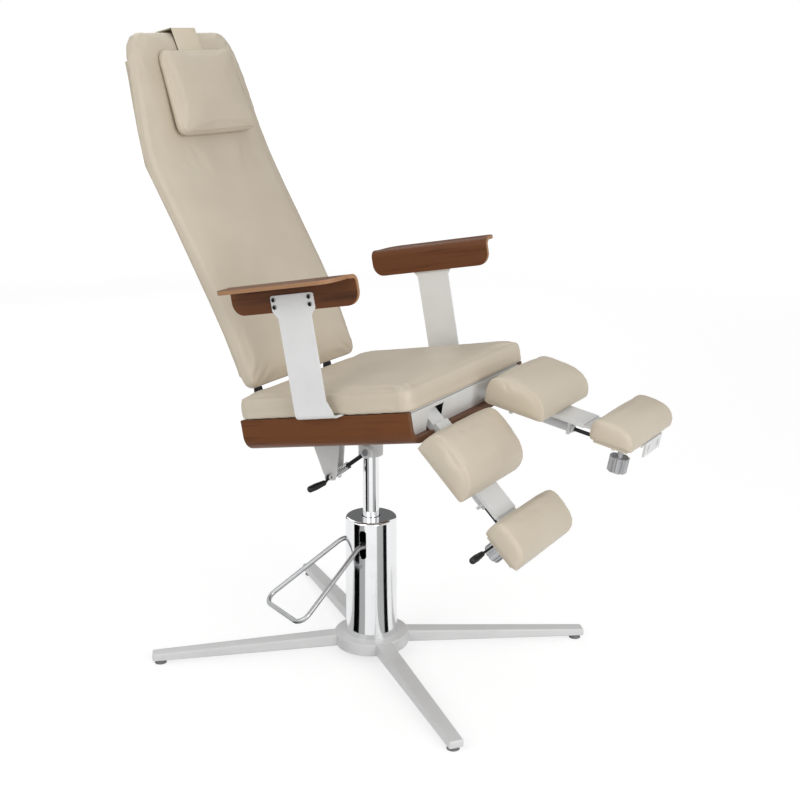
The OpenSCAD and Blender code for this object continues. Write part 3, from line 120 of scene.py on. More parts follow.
@dataclass(frozen=True)
class Extent:
    """Lowest and highest corner of a node in one frame."""

    low: Vector
    high: Vector

    @property
    def size(self) -> Vector:
        """Lengths of the sides."""
        return self.high - self.low

    @property
    def inner(self) -> float:
        """Distance of the nearer side from the chair's middle plane."""
        return min(abs(self.low.y), abs(self.high.y))

    @property
    def outer(self) -> float:
        """Distance of the farther side from the chair's middle plane."""
        return max(abs(self.low.y), abs(self.high.y))


@dataclass(frozen=True)
class Place:
    """A frame of the chair in which pieces are measured and modelled."""

    matrix: Matrix

    def extent(self, node: str) -> Extent:
        """Measures a CAD node.

        Args:
            node: Name of the node.

        Returns:
            The node's extent along this frame's own axes.
        """
        back = self.matrix.inverted()
        points = [back @ vertex.co for vertex in frame["nodes"][node].data.vertices]
        low = Vector([min(point[axis] for point in points) for axis in range(3)])
        high = Vector([max(point[axis] for point in points) for axis in range(3)])
        return Extent(low, high)

    def step(self, place: Triple, turn_y: float) -> "Place":
        """Frame at a place in this one, turned about Y.

        Args:
            place: Origin of the new frame.
            turn_y: Turn about Y in degrees.

        Returns:
            The new frame.
        """
        turn = Matrix.Rotation(math.radians(turn_y), 4, "Y")
        return Place(self.matrix @ Matrix.Translation(place) @ turn)


FLOOR = Place(Matrix.Identity(4))
SEAT = FLOOR.step((0, 0, 0.560), -10.4)
STRUT = FLOOR.step((-0.072, -0.032, 0.397), -37.97)
PEDAL = Place(Matrix.Rotation(math.radians(-115), 4, "Z"))
KNEE = (0.203, 0, -0.003)
LEG = {Side.RIGHT: SEAT.step(KNEE, 55.3), Side.LEFT: SEAT.step(KNEE, 21.3)}
LEG_Y = 0.124
LEFT_PULL = 0.030
SEAT_SEAM = 0.044
SEAT_VOXEL = 0.0055
SEAT_SWELL = 0.004
FINE_VOXEL = 0.0035


class Value:
    """A number that flows through a material, with the maths written as Python."""

    def __init__(self, shader: "Shader", socket: bpy.types.NodeSocket) -> None:
        """Wraps an output socket of a shader's node."""
        self.shader = shader
        self.socket = socket

    def _maths(self, operation: str, *values: "Value | float") -> "Value":
        """Adds a Math node for one operation.

        Args:
            operation: The node's operation.
            values: Its inputs in order.

        Returns:
            The node's result.
        """
        inputs = dict(enumerate(values))
        return self.shader.value("ShaderNodeMath", {"operation": operation}, inputs)

    def __add__(self, other: "Value | float") -> "Value":
        """Sum."""
        return self._maths("ADD", self, other)

    def __radd__(self, other: float) -> "Value":
        """Sum with a number on the left."""
        return self._maths("ADD", other, self)

    def __sub__(self, other: "Value | float") -> "Value":
        """Difference."""
        return self._maths("SUBTRACT", self, other)

    def __rsub__(self, other: float) -> "Value":
        """Difference from a number on the left."""
        return self._maths("SUBTRACT", other, self)

    def __mul__(self, other: "Value | float") -> "Value":
        """Product."""
        return self._maths("MULTIPLY", self, other)

    def __rmul__(self, other: float) -> "Value":
        """Product with a number on the left."""
        return self._maths("MULTIPLY", other, self)

    def __truediv__(self, other: "Value | float") -> "Value":
        """Quotient."""
        return self._maths("DIVIDE", self, other)

    def __rtruediv__(self, other: float) -> "Value":
        """Quotient with a number on the left."""
        return self._maths("DIVIDE", other, self)

    def __abs__(self) -> "Value":
        """Size without its sign."""
        return self._maths("ABSOLUTE", self)

    def __mod__(self, other: "Value | float") -> "Value":
        """Remainder, which repeats a pattern."""
        return self._maths("MODULO", self, other)

    def __rmod__(self, other: float) -> "Value":
        """Remainder with a number on the left."""
        return self._maths("MODULO", other, self)

    def least(self, other: "Value | float") -> "Value":
        """The smaller of two values."""
        return self._maths("MINIMUM", self, other)

    def most(self, other: "Value | float") -> "Value":
        """The larger of two values."""
        return self._maths("MAXIMUM", self, other)

    def between(self, low: float, high: float) -> "Value":
        """Smooth step from 0 at one value to 1 at another.

        Args:
            low: Value at which the step starts.
            high: Value at which the step ends.

        Returns:
            The step's height.
        """
        settings = {"interpolation_type": "SMOOTHSTEP"}
        inputs = {"Value": self, "From Min": low, "From Max": high}
        return self.shader.value("ShaderNodeMapRange", settings, inputs)


class Shader:
    """The nodes of one material."""

    def __init__(self, name: str) -> None:
        """Makes a new material with its surface node.

        Args:
            name: Name of the material.
        """
        self.material = bpy.data.materials.new(name)
        self.material.use_nodes = True
        self.tree = self.material.node_tree
        self.surface = self.tree.nodes["Principled BSDF"]

    def node(self, kind: str, settings: dict[str, Any] | None = None,
             inputs: dict[str | int, Any] | None = None) -> bpy.types.Node:
        """Adds any node.

        Args:
            kind: The node's type.
            settings: Its settings, which are made first. "stops" fills a ramp.
            inputs: Values or links of its sockets, by name or number.

        Returns:
            The node.
        """
        made = self.tree.nodes.new(kind)
        for key, value in (settings or {}).items():
            if key == "stops":
                self._fill_ramp(made.color_ramp, value)
            else:
                setattr(made, key, value)
        for key, value in (inputs or {}).items():
            self.feed(made.inputs[key], value)
        return made

    def _fill_ramp(self, ramp: bpy.types.ColorRamp, stops: Sequence[tuple[float, tuple]]) -> None:
        """Gives a ramp its stops, each a place and a colour."""
        while len(ramp.elements) < len(stops):
            ramp.elements.new(1.0)
        for element, (place, colour) in zip(ramp.elements, stops):
            element.position = place
            element.color = colour

    def feed(self, socket: bpy.types.NodeSocket, value: Any) -> None:
        """Links a value to a socket, or sets the socket to a number or colour."""
        if isinstance(value, Value):
            self.tree.links.new(value.socket, socket)
        else:
            socket.default_value = value

    def value(self, kind: str, settings: dict[str, Any] | None = None,
              inputs: dict[str | int, Any] | None = None, output: str | int = 0) -> Value:
        """Adds a node and wraps one of its outputs.

        Args:
            kind: The node's type.
            settings: Its settings.
            inputs: Values or links of its sockets.
            output: Name or number of the output.

        Returns:
            The output as a value.
        """
        return Value(self, self.node(kind, settings, inputs).outputs[output])

    def dress(self, **inputs: Any) -> None:
        """Feeds the surface's sockets, with spaces in their names written as underscores."""
        for key, value in inputs.items():
            self.feed(self.surface.inputs[key.replace("_", " ")], value)

    def coordinates(self, place: Place = FLOOR) -> Value:
        """Coordinates of the surface, turned into a frame of the chair."""
        held = self.value("ShaderNodeTexCoord", output="Object")
        back = place.matrix.inverted()
        inputs = {"Vector": held, "Location": back.to_translation(), "Rotation": back.to_euler()}
        return self.value("ShaderNodeMapping", {"vector_type": "POINT"}, inputs)

    def stretched(self, vector: Value, scale: Triple) -> Value:
        """Coordinates stretched along their axes."""
        return self.value("ShaderNodeVectorMath", {"operation": "MULTIPLY"}, {0: vector, 1: scale})

    def axes(self, vector: Value) -> tuple[Value, Value, Value]:
        """The three parts of a vector."""
        parts = self.node("ShaderNodeSeparateXYZ", inputs={0: vector})
        return Value(self, parts.outputs[0]), Value(self, parts.outputs[1]), Value(self, parts.outputs[2])

    def noise(self, vector: Value, scale: float, detail: float = 2.0, roughness: float = 0.5) -> Value:
        """Soft random pattern from 0 to 1."""
        inputs = {"Vector": vector, "Scale": scale, "Detail": detail, "Roughness": roughness}
        return self.value("ShaderNodeTexNoise", inputs=inputs, output="Fac")

    def cells(self, vector: Value, scale: float) -> Value:
        """Distance from the middle of random cells, for pebbled grain."""
        inputs = {"Vector": vector, "Scale": scale}
        return self.value("ShaderNodeTexVoronoi", inputs=inputs, output="Distance")

    def blend(self, share: Value | float, first: Any, second: Any) -> Value:
        """Mixes two colours by a share."""
        inputs = {0: share, 6: first, 7: second}
        return self.value("ShaderNodeMix", {"data_type": "RGBA"}, inputs, 2)

    def ramp(self, share: Value, stops: Sequence[tuple[float, tuple]]) -> Value:
        """Colour looked up along a ramp."""
        return self.value("ShaderNodeValToRGB", {"stops": stops}, {"Fac": share}, "Color")

    def bump(self, height: Value, depth: float, strength: float = 1.0) -> Value:
        """Surface normal bent by a height pattern."""
        inputs = {"Height": height, "Distance": depth, "Strength": strength}
        return self.value("ShaderNodeBump", inputs=inputs, output="Normal")


@dataclass(frozen=True)
class Finish(ABC):
    """One finish of the chair: a material and the record's slot that it stands for."""

    name: str
    slot: str

    @abstractmethod
    def paint(self, shader: Shader) -> None:
        """Builds the material's nodes."""

    @property
    def material(self) -> bpy.types.Material:
        """The finish's material, built the first time that it is asked for."""
        found = bpy.data.materials.get(self.name)
        if found is None:
            shader = Shader(self.name)
            self.paint(shader)
            found = shader.material
        return found


@dataclass(frozen=True)
class Vinyl(Finish):
    """Smooth beige vinyl with a faint pebble grain and soft cloudy tone."""

    light: Colour = linear(202, 191, 172)
    shade: Colour = linear(196, 184, 165)
    grain: float = 950.0

    def paint(self, shader: Shader) -> None:
        """Builds the vinyl."""
        here = shader.coordinates()
        cloud = shader.noise(here, 7.0, 3.0)
        wear = shader.noise(here, 38.0, 2.0)
        tone = shader.blend(cloud.between(0.3, 0.75), self.light, self.shade)
        pebbles = shader.cells(here, self.grain)
        pores = shader.noise(here, self.grain * 0.6, 3.0, 0.6)
        folds = shader.noise(shader.stretched(here, (1.0, 1.0, 0.35)), 26.0, 2.0)
        height = pebbles * 0.35 + pores * 0.4 + folds * 2.5
        shader.dress(
            Base_Color=tone,
            Roughness=0.36 + wear * 0.16,
            Normal=shader.bump(height, 0.12 * MM, 0.7),
            Specular_IOR_Level=0.42,
            Sheen_Weight=0.06,
        )


@dataclass(frozen=True)
class Paint(Finish):
    """Powder coat with a fine orange peel."""

    colour: Colour = linear(226, 227, 226)
    roughness: float = 0.34

    def paint(self, shader: Shader) -> None:
        """Builds the powder coat."""
        here = shader.coordinates()
        dust = shader.noise(here, 11.0, 4.0)
        peel = shader.noise(here, 620.0, 2.0)
        darker = tuple(channel * 0.93 for channel in self.colour[:3]) + (1.0,)
        shader.dress(
            Base_Color=shader.blend(dust.between(0.35, 0.8), self.colour, darker),
            Roughness=self.roughness + dust * 0.10,
            Normal=shader.bump(peel, 0.05 * MM, 0.6),
            Coat_Weight=0.12,
        )


@dataclass(frozen=True)
class Metal(Finish):
    """Bare or plated metal with fine drawn lines and faint smudges."""

    colour: Colour = linear(222, 224, 226)
    roughness: float = 0.08
    lines: float = 0.2

    def paint(self, shader: Shader) -> None:
        """Builds the metal."""
        here = shader.coordinates()
        smudge = shader.noise(here, 14.0, 4.0)
        drawn = shader.noise(shader.stretched(here, (60.0, 60.0, 900.0)), 4.0, 2.0)
        duller = tuple(channel * 0.86 for channel in self.colour[:3]) + (1.0,)
        shader.dress(
            Base_Color=shader.blend(smudge.between(0.4, 0.9), self.colour, duller),
            Metallic=1.0,
            Roughness=self.roughness + smudge * 0.06 + drawn * (self.lines * 0.2),
            Normal=shader.bump(drawn, 0.02 * MM, self.lines),
        )


@dataclass(frozen=True)
class Plastic(Finish):
    """Moulded plastic or rubber with a fine texture."""

    colour: Colour = linear(24, 24, 26)
    roughness: float = 0.38

    def paint(self, shader: Shader) -> None:
        """Builds the plastic."""
        here = shader.coordinates()
        spark = shader.noise(here, 1400.0, 2.0)
        scuff = shader.noise(here, 60.0, 4.0)
        paler = tuple(channel * 1.5 + 0.004 for channel in self.colour[:3]) + (1.0,)
        shader.dress(
            Base_Color=shader.blend(scuff.between(0.55, 0.85) * 0.5, self.colour, paler),
            Roughness=self.roughness + scuff * 0.15,
            Normal=shader.bump(spark, 0.04 * MM, 0.5),
        )


@dataclass(frozen=True)
class Walnut(Finish):
    """Lacquered veneer with its grain along the seat."""

    dark: Colour = linear(72, 38, 18)
    mid: Colour = linear(108, 64, 34)
    pale: Colour = linear(132, 84, 48)

    def paint(self, shader: Shader) -> None:
        """Builds the veneer."""
        here = shader.coordinates(SEAT)
        flow = shader.noise(shader.stretched(here, (2.2, 20.0, 20.0)), 2.2, 4.0, 0.6)
        bands = shader.noise(shader.stretched(here, (1.6, 62.0, 62.0)), 2.6, 3.0, 0.55)
        pores = shader.noise(shader.stretched(here, (26.0, 760.0, 760.0)), 1.0, 3.0, 0.7)
        figure = flow * 0.55 + bands * 0.45
        stops = ((0.30, self.dark), (0.47, self.mid), (0.60, self.mid), (0.74, self.pale))
        open_pores = pores.between(0.58, 0.72)
        shader.dress(
            Base_Color=shader.blend(open_pores * 0.45, shader.ramp(figure, stops), self.dark),
            Roughness=0.42 + open_pores * 0.2,
            Normal=shader.bump(1 - open_pores, 0.05 * MM, 0.5),
            Specular_IOR_Level=0.22,
            Coat_Weight=0.05,
            Coat_Roughness=0.25,
        )


@dataclass(frozen=True)
class PlyEdge(Finish):
    """Cut edge of bent ply, with thin layers that follow its bend."""

    upright: float = 0.240
    flat: float = -0.040
    layer: float = 1.5 * MM
    pale: Colour = linear(188, 148, 118)
    deep: Colour = linear(150, 108, 80)

    def paint(self, shader: Shader) -> None:
        """Builds the layers from the depth below the sheet's two faces."""
        here = shader.coordinates(SEAT)
        _, across, up = shader.axes(here)
        depth = abs(self.upright - abs(across)).least(abs(up - self.flat))
        layers = abs((depth / self.layer) % 1.0 - 0.5).between(0.16, 0.34)
        fibres = shader.noise(shader.stretched(here, (30.0, 420.0, 420.0)), 1.0, 3.0, 0.6)
        shader.dress(
            Base_Color=shader.blend(layers * 0.55 + fibres * 0.25, self.pale, self.deep),
            Roughness=0.5 + fibres * 0.15,
            Normal=shader.bump(fibres, 0.08 * MM, 0.5),
        )


@dataclass(frozen=True)
class Board(Finish):
    """Stained board with a faint grain."""

    colour: Colour

    def paint(self, shader: Shader) -> None:
        """Builds the board."""
        here = shader.coordinates(SEAT)
        grain = shader.noise(shader.stretched(here, (3.0, 60.0, 60.0)), 2.0, 4.0, 0.6)
        darker = tuple(channel * 0.66 for channel in self.colour[:3]) + (1.0,)
        shader.dress(
            Base_Color=shader.blend(grain.between(0.35, 0.75), self.colour, darker),
            Roughness=0.55 + grain * 0.2,
            Normal=shader.bump(grain, 0.1 * MM, 0.5),
        )


VINYL = Vinyl("vinyl_beige", "upholstery")
# Painted light: a lighter copy of the cushions' beige vinyl, so the strap reads brighter than the same vinyl
# around it.
LIT_STRAP_VINYL = Vinyl("vinyl_strap", "strap", linear(214, 203, 182), linear(202, 190, 168))
BASE_PAINT = Paint("paint_base", "base_paint", linear(216, 216, 216), 0.34)
WHITE_PAINT = Paint("paint_white", "white_paint")
CYLINDER_PAINT = Paint("paint_cylinder", "cylinder_paint", linear(214, 216, 218), 0.28)
CHROME = Metal("chrome_plate", "chrome", linear(236, 237, 238), 0.05)
SATIN = Metal("chrome_satin", "chrome", linear(176, 177, 178), 0.3, 0.3)
STEEL = Metal("steel_bright", "steel", linear(176, 178, 180), 0.26, 0.6)
SLIDE_STEEL = Paint("slide_coat", "slide_steel", linear(220, 221, 221), 0.3)
# Dark steel; inside the screw sockets the same finish is painted shade.
DARK_STEEL_AND_SOCKET_SHADE = Metal("steel_dark", "dark_steel", linear(54, 54, 56), 0.32, 0.4)
BRONZE = Metal("bronze_plain", "bronze", linear(176, 132, 72), 0.3, 0.5)
GRIP = Plastic("grip_black", "grip", linear(11, 11, 12), 0.4)
RUBBER = Plastic("foot_rubber", "foot", linear(106, 106, 108), 0.5)
KNOB_METAL = Metal("knob_cast", "knob", linear(188, 189, 191), 0.34, 0.5)
WALNUT = Walnut("walnut_veneer", "walnut")
ARM_WALNUT = Walnut("walnut_arm", "walnut", linear(66, 35, 16), linear(102, 60, 32), linear(128, 80, 44))
TRAY_EDGE = PlyEdge("ply_edge_tray", "walnut", pale=linear(112, 72, 44), deep=linear(86, 52, 28))
# Dark board of the back shell; on the strap's side edges the same finish is painted shade.
BACK_SHELL_AND_STRAP_SHADE = Board("board_dark", "back_shell", linear(52, 44, 40))


@dataclass(frozen=True)
class Spot:
    """Where a face, edge or point is, for choosing it."""

    middle: Vector
    normal: Vector
    along: Vector
    open: bool


def turn_edge(degrees: float, centre: Sequence[float], axis: Sequence[float], steps: int = 8) -> None:
    """Draws the picked edges round an axis, with the right-hand rule.

    Args:
        degrees: Angle of the bend.
        centre: A point on the axis.
        axis: Direction of the axis.
        steps: Number of faces round the bend.
    """
    bpy.ops.mesh.spin(steps=steps, angle=SPIN_SENSE * math.radians(degrees), center=centre, axis=axis)


def draw_out(move: Sequence[float]) -> None:
    """Extrudes the picked elements along a straight move."""
    bpy.ops.mesh.extrude_region_move(TRANSFORM_OT_translate={"value": move})


def resize(share: Sequence[float], centre: Sequence[float]) -> None:
    """Scales the picked elements about a point."""
    bpy.ops.transform.resize(value=share, center_override=centre)


def round_off(radius: float, segments: int, affect: str = "EDGES") -> None:
    """Rounds the picked edges, or the picked corners with "VERTICES"."""
    bpy.ops.mesh.bevel(offset=radius, segments=segments, affect=affect)


def choose_none() -> None:
    """Leaves edit mode and deselects everything."""
    if bpy.context.mode != "OBJECT":
        bpy.ops.object.mode_set(mode="OBJECT")
    for other in bpy.context.selected_objects:
        other.select_set(False)


def choose_only(piece: bpy.types.Object) -> None:
    """Deselects everything and makes one piece active."""
    choose_none()
    piece.select_set(True)
    bpy.context.view_layer.objects.active = piece


class Bench:
    """One piece of the chair while it is being modelled."""

    def __init__(self, piece: bpy.types.Object) -> None:
        """Takes a mesh object onto the bench."""
        self.piece = piece

    @classmethod
    def _start(cls, name: str, add: Callable[..., Any], stretch: Sequence[float] = (1, 1, 1),
               **settings: Any) -> "Bench":
        """Adds a primitive with nothing else selected, and names it.

        Args:
            name: Name of the piece.
            add: The primitive's operator.
            stretch: Scale along the primitive's own axes.
            settings: The operator's settings.

        Returns:
            The piece on the bench, with its size and turn in its mesh.
        """
        choose_none()
        add(**settings)
        piece = bpy.context.active_object
        piece.name = name
        piece.data.name = name
        piece.scale = stretch
        bpy.ops.object.transform_apply(location=True, rotation=True, scale=True)
        return cls(piece)

    @classmethod
    def block(cls, name: str, low: Sequence[float], high: Sequence[float]) -> "Bench":
        """Starts from a box between two corners."""
        low, high = Vector(low), Vector(high)
        add = bpy.ops.mesh.primitive_cube_add
        return cls._start(name, add, high - low, size=1, location=(low + high) / 2)

    @classmethod
    def sheet(cls, name: str, low: Sequence[float], high: Sequence[float], turn: Euler) -> "Bench":
        """Starts from a flat rectangle.

        Args:
            name: Name of the piece.
            low: One corner.
            high: The opposite corner.
            turn: Turn that lays the rectangle's Z along its flat side.

        Returns:
            The rectangle on the bench.
        """
        low, high = Vector(low), Vector(high)
        size = turn.to_matrix().inverted() @ (high - low)
        stretch = (abs(size.x), abs(size.y), 1)
        add = bpy.ops.mesh.primitive_plane_add
        return cls._start(name, add, stretch, size=1, location=(low + high) / 2, rotation=turn)

    @classmethod
    def rod(cls, name: str, radius: float, start: Sequence[float], end: Sequence[float],
            sides: int = 40) -> "Bench":
        """Starts from a round bar between two points."""
        start, end = Vector(start), Vector(end)
        turn = (end - start).to_track_quat("Z", "Y").to_euler()
        add = bpy.ops.mesh.primitive_cylinder_add
        return cls._start(name, add, vertices=sides, radius=radius, depth=(end - start).length,
                          location=(start + end) / 2, rotation=turn)

    @classmethod
    def bent_bar(cls, name: str, radius: float, path: Sequence[Sequence[float]], bend: float,
                 sides: int = 24) -> "Bench":
        """Draws a round bar along straight runs with round bends between them.

        Args:
            name: Name of the piece.
            radius: Radius of the bar.
            path: Corners of the path.
            bend: Radius of the bar's bends.
            sides: Number of sides of the bar.

        Returns:
            The closed bar on the bench.
        """
        corners = [Vector(corner) for corner in path]
        runs = [(after - before).normalized() for before, after in zip(corners, corners[1:])]
        turn = runs[0].to_track_quat("Z", "Y").to_euler()
        add = bpy.ops.mesh.primitive_circle_add
        bench = cls._start(name, add, vertices=sides, radius=radius, location=corners[0], rotation=turn)
        at = corners[0]
        with bench.picked(Part.EDGE):
            for index, run in enumerate(runs):
                last = index == len(runs) - 1
                angle = 0.0 if last else run.angle(runs[index + 1])
                setback = bend * math.tan(angle / 2)
                stop = corners[index + 1] - run * setback
                draw_out(stop - at)
                at = stop
                if not last:
                    axis = run.cross(runs[index + 1]).normalized()
                    centre = stop + axis.cross(run) * bend
                    turn_edge(math.degrees(angle), centre, axis)
                    at = corners[index + 1] + runs[index + 1] * setback
        with bench.picked(Part.EDGE, lambda spot: spot.open):
            bpy.ops.mesh.fill_holes(sides=0)
        return bench.face_outwards()

    @classmethod
    def copy(cls, node: str, name: str) -> "Bench":
        """Starts from a merged copy of a CAD node's mesh."""
        mesh = frame["nodes"][node].data.copy()
        mesh.name = name
        mesh.materials.clear()
        piece = bpy.data.objects.new(name, mesh)
        bpy.context.scene.collection.objects.link(piece)
        bench = cls(piece)
        with bench.picked(Part.VERT):
            bpy.ops.mesh.remove_doubles(threshold=0.005 * MM)
            bpy.ops.mesh.customdata_custom_splitnormals_clear()
        return bench

    @contextmanager
    def picked(self, part: Part, test: Callable[[Spot], bool] = lambda spot: True) -> Iterator[None]:
        """Opens edit mode with chosen elements selected, and closes it afterwards.

        Args:
            part: Kind of element.
            test: Says which elements are selected; without it all are.

        Yields:
            Nothing.
        """
        choose_only(self.piece)
        bpy.ops.object.mode_set(mode="EDIT")
        bpy.ops.mesh.select_mode(type=part.name)
        bpy.ops.mesh.select_all(action="DESELECT")
        shape = bmesh.from_edit_mesh(self.piece.data)
        shape.normal_update()
        for element in getattr(shape, part.value):
            if test(self._spot(element)):
                element.select_set(True)
        shape.select_flush_mode()
        bmesh.update_edit_mesh(self.piece.data)
        yield
        bpy.ops.object.mode_set(mode="OBJECT")

    @staticmethod
    def _spot(element: Any) -> Spot:
        """Describes one element of a mesh in edit mode."""
        if isinstance(element, bmesh.types.BMFace):
            return Spot(element.calc_center_median(), element.normal, Vector(), False)
        if isinstance(element, bmesh.types.BMVert):
            return Spot(element.co.copy(), element.normal, Vector(), element.is_boundary)
        first, second = element.verts
        middle = (first.co + second.co) / 2
        along = (second.co - first.co).normalized()
        return Spot(middle, (first.normal + second.normal).normalized(), along, len(element.link_faces) < 2)

    def modify(self, kind: str, **settings: Any) -> "Bench":
        """Adds a modifier with its settings and applies it."""
        choose_only(self.piece)
        added = self.piece.modifiers.new(kind.lower(), kind)
        for key, value in settings.items():
            setattr(added, key, value)
        bpy.ops.object.modifier_apply(modifier=added.name)
        return self

    def soften(self, width: float, segments: int = 2) -> "Bench":
        """Breaks the sharp edges with a small round."""
        return self.modify("BEVEL", width=width, segments=segments, limit_method="ANGLE",
                           angle_limit=BEVEL_ANGLE, harden_normals=False)

    def cut(self, *cutters: "Bench") -> "Bench":
        """Cuts other pieces out of this one and removes them."""
        for cutter in cutters:
            self.modify("BOOLEAN", operation="DIFFERENCE", object=cutter.piece, solver="EXACT")
            bpy.data.objects.remove(cutter.piece)
        return self

    def join(self, *others: "Bench") -> "Bench":
        """Makes other pieces part of this one."""
        choose_only(self.piece)
        for other in others:
            other.piece.select_set(True)
        bpy.ops.object.join()
        return self

    def again(self, name: str, move: Matrix) -> "Bench":
        """Copies the piece with a mesh of its own, moved in the same frame."""
        piece = self.piece.copy()
        piece.data = self.piece.data.copy()
        piece.name = name
        piece.data.name = name
        bpy.context.scene.collection.objects.link(piece)
        return Bench(piece).settle(Place(move))

    def open_away_from(self, point: Sequence[float]) -> "Bench":
        """Points the faces of an open sheet away from a point."""
        self.face_outwards()
        inside = Vector(point)
        faces = self.piece.data.polygons
        away = sum(face.area * face.normal.dot((face.center - inside).normalized()) for face in faces)
        if away < 0:
            with self.picked(Part.FACE):
                bpy.ops.mesh.flip_normals()
        return self

    def face_outwards(self) -> "Bench":
        """Merges doubles and points every face of a closed piece outwards."""
        with self.picked(Part.FACE):
            bpy.ops.mesh.remove_doubles(threshold=0.002 * MM)
            bpy.ops.mesh.normals_make_consistent(inside=False)
        return self

    def settle(self, place: Place) -> "Bench":
        """Moves the piece out of its own frame, with its place kept in its mesh."""
        self.piece.matrix_world = place.matrix
        choose_only(self.piece)
        bpy.ops.object.transform_apply(location=True, rotation=True, scale=True)
        return self

    def smooth(self) -> "Bench":
        """Shades the piece smooth across its shallow angles, with its large faces kept flat."""
        choose_only(self.piece)
        bpy.ops.object.shade_smooth_by_angle(angle=SMOOTH_ANGLE)
        return self.modify("WEIGHTED_NORMAL", mode="FACE_AREA", weight=100, keep_sharp=True)

    def coat(self, *finishes: Finish) -> "Bench":
        """Gives the piece its finishes, the first one all over."""
        self.piece.data.materials.clear()
        for finish in finishes:
            self.piece.data.materials.append(finish.material)
        return self

    def coat_where(self, index: int, test: Callable[[Vector, Vector], bool], place: Place = FLOOR) -> "Bench":
        """Gives some faces another of the piece's finishes.

        Args:
            index: Number of the finish.
            test: Chooses a face by its middle and normal.
            place: Frame in which the test measures.

        Returns:
            The piece on the bench.
        """
        back = place.matrix.inverted()
        turn = back.to_3x3()
        for face in self.piece.data.polygons:
            if test(back @ face.center, turn @ face.normal):
                face.material_index = index
        return self

    def fit(self, node: str, finish: Finish, replaces: bool = True) -> bpy.types.Object:
        """Fits the finished piece to the chair.

        Args:
            node: CAD node whose body carries the piece.
            finish: The piece's main finish.
            replaces: Whether the piece stands for that node.

        Returns:
            The piece.
        """
        if not self.piece.data.materials:
            self.coat(finish)
        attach(self.piece, frame["nodes"][node]["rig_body"])
        if replaces:
            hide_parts(node)
        return self.piece


def keep(finish: Finish, *nodes: str) -> None:
    """Keeps CAD nodes as they are and gives them a finish."""
    for node in nodes:
        piece = frame["nodes"][node]
        piece.data.materials.clear()
        piece.data.materials.append(finish.material)
        log.info("%s: kept, %s", node, finish.name)


def softened(node: str, width: float) -> Bench:
    """Copies a CAD node with its facets merged and its edges softened.

    Args:
        node: The node.
        width: Width of the softened edges.

    Returns:
        The copy on the bench.
    """
    bench = Bench.copy(node, f"{node}_finished")
    with bench.picked(Part.FACE):
        bpy.ops.mesh.dissolve_limited(angle_limit=MERGE_ANGLE)
    return bench.soften(width)


def refine(finish: Finish, width: float, *nodes: str) -> None:
    """Stands copies with softened edges in for hard CAD nodes.

    Args:
        finish: Finish of the copies.
        width: Width of the softened edges.
        nodes: The nodes.
    """
    for node in nodes:
        softened(node, width).smooth().fit(node, finish)


@dataclass
class StarBase:
    """Four tapered legs welded to a round hub, on levelling feet."""

    hub_radius: float = 0.080
    hub_low: float = 0.020
    hub_top: float = 0.048
    hub_step: float = MM
    leg_root: float = 0.040
    leg_end: float = 0.472
    root_width: float = 0.036
    tip_width: float = 0.030
    tip_low: float = 0.008
    tip_height: float = 0.016
    edge: float = 0.0035
    foot_reach: float = 0.455
    foot_radius: float = 0.013
    foot_top_share: float = 0.8
    foot_round: float = 0.9 * MM
    stem_radius: float = 0.005
    stem_length: float = 0.011
    leg_turn: float = 38.6
    turns: tuple[float, ...] = field(init=False)

    def __post_init__(self) -> None:
        """Works out the direction of each leg."""
        self.turns = (self.leg_turn, 180 - self.leg_turn, 180 + self.leg_turn, -self.leg_turn)

    def _leg(self) -> Bench:
        """Models one leg along X: a box, narrowed and lowered at its tip."""
        half = self.root_width / 2
        low, high = self.hub_low + self.hub_step, self.hub_top - self.hub_step
        leg = Bench.block("star_leg", (self.leg_root, -half, low), (self.leg_end, half, high))
        with leg.picked(Part.FACE):
            bpy.ops.mesh.bisect(plane_co=(self.hub_radius, 0, 0), plane_no=(1, 0, 0))
        height = high - low
        tip = Vector((self.leg_end, 0, (low + high) / 2))
        fall = self.tip_low + self.tip_height / 2 - tip.z
        with leg.picked(Part.FACE, lambda spot: spot.normal.x > FACING and spot.middle.x > self.foot_reach):
            resize((1, self.tip_width / self.root_width, self.tip_height / height), tip)
            bpy.ops.transform.translate(value=(0, 0, fall))
        return leg.soften(self.edge, 3).smooth()

    def _foot(self) -> Bench:
        """Models one levelling foot: a cone with a rolled edge and its stem."""
        foot = Bench.rod("levelling_foot", self.foot_radius, (0, 0, 0), (0, 0, self.tip_low))
        with foot.picked(Part.FACE, lambda spot: spot.normal.z > FACING):
            share = self.foot_top_share
            resize((share, share, 1), (0, 0, self.tip_low))
            bpy.ops.mesh.inset(thickness=self.foot_radius * share - self.stem_radius)
            draw_out((0, 0, self.stem_length))
        return foot.soften(self.foot_round, 3).smooth()

    def build(self) -> None:
        """Builds the base with its feet and bolts."""
        hub = Bench.rod("star_hub", self.hub_radius, (0, 0, self.hub_low), (0, 0, self.hub_top), 96)
        hub.soften(self.edge, 4).smooth().fit("star_base", BASE_PAINT)
        leg, foot = self._leg(), self._foot()
        out = Matrix.Translation((self.foot_reach, 0, 0))
        for number, degrees in enumerate(self.turns, 1):
            turn = Matrix.Rotation(math.radians(degrees), 4, "Z")
            leg.again(f"star_leg_{number}", turn).fit("star_base", BASE_PAINT, replaces=False)
            placed = foot.again(f"levelling_foot_{number}", turn @ out)
            placed.fit("levelling_feet", RUBBER, replaces=number == 1)
        bpy.data.objects.remove(leg.piece)
        bpy.data.objects.remove(foot.piece)
        refine(STEEL, 0.5 * MM, "base_bolts")


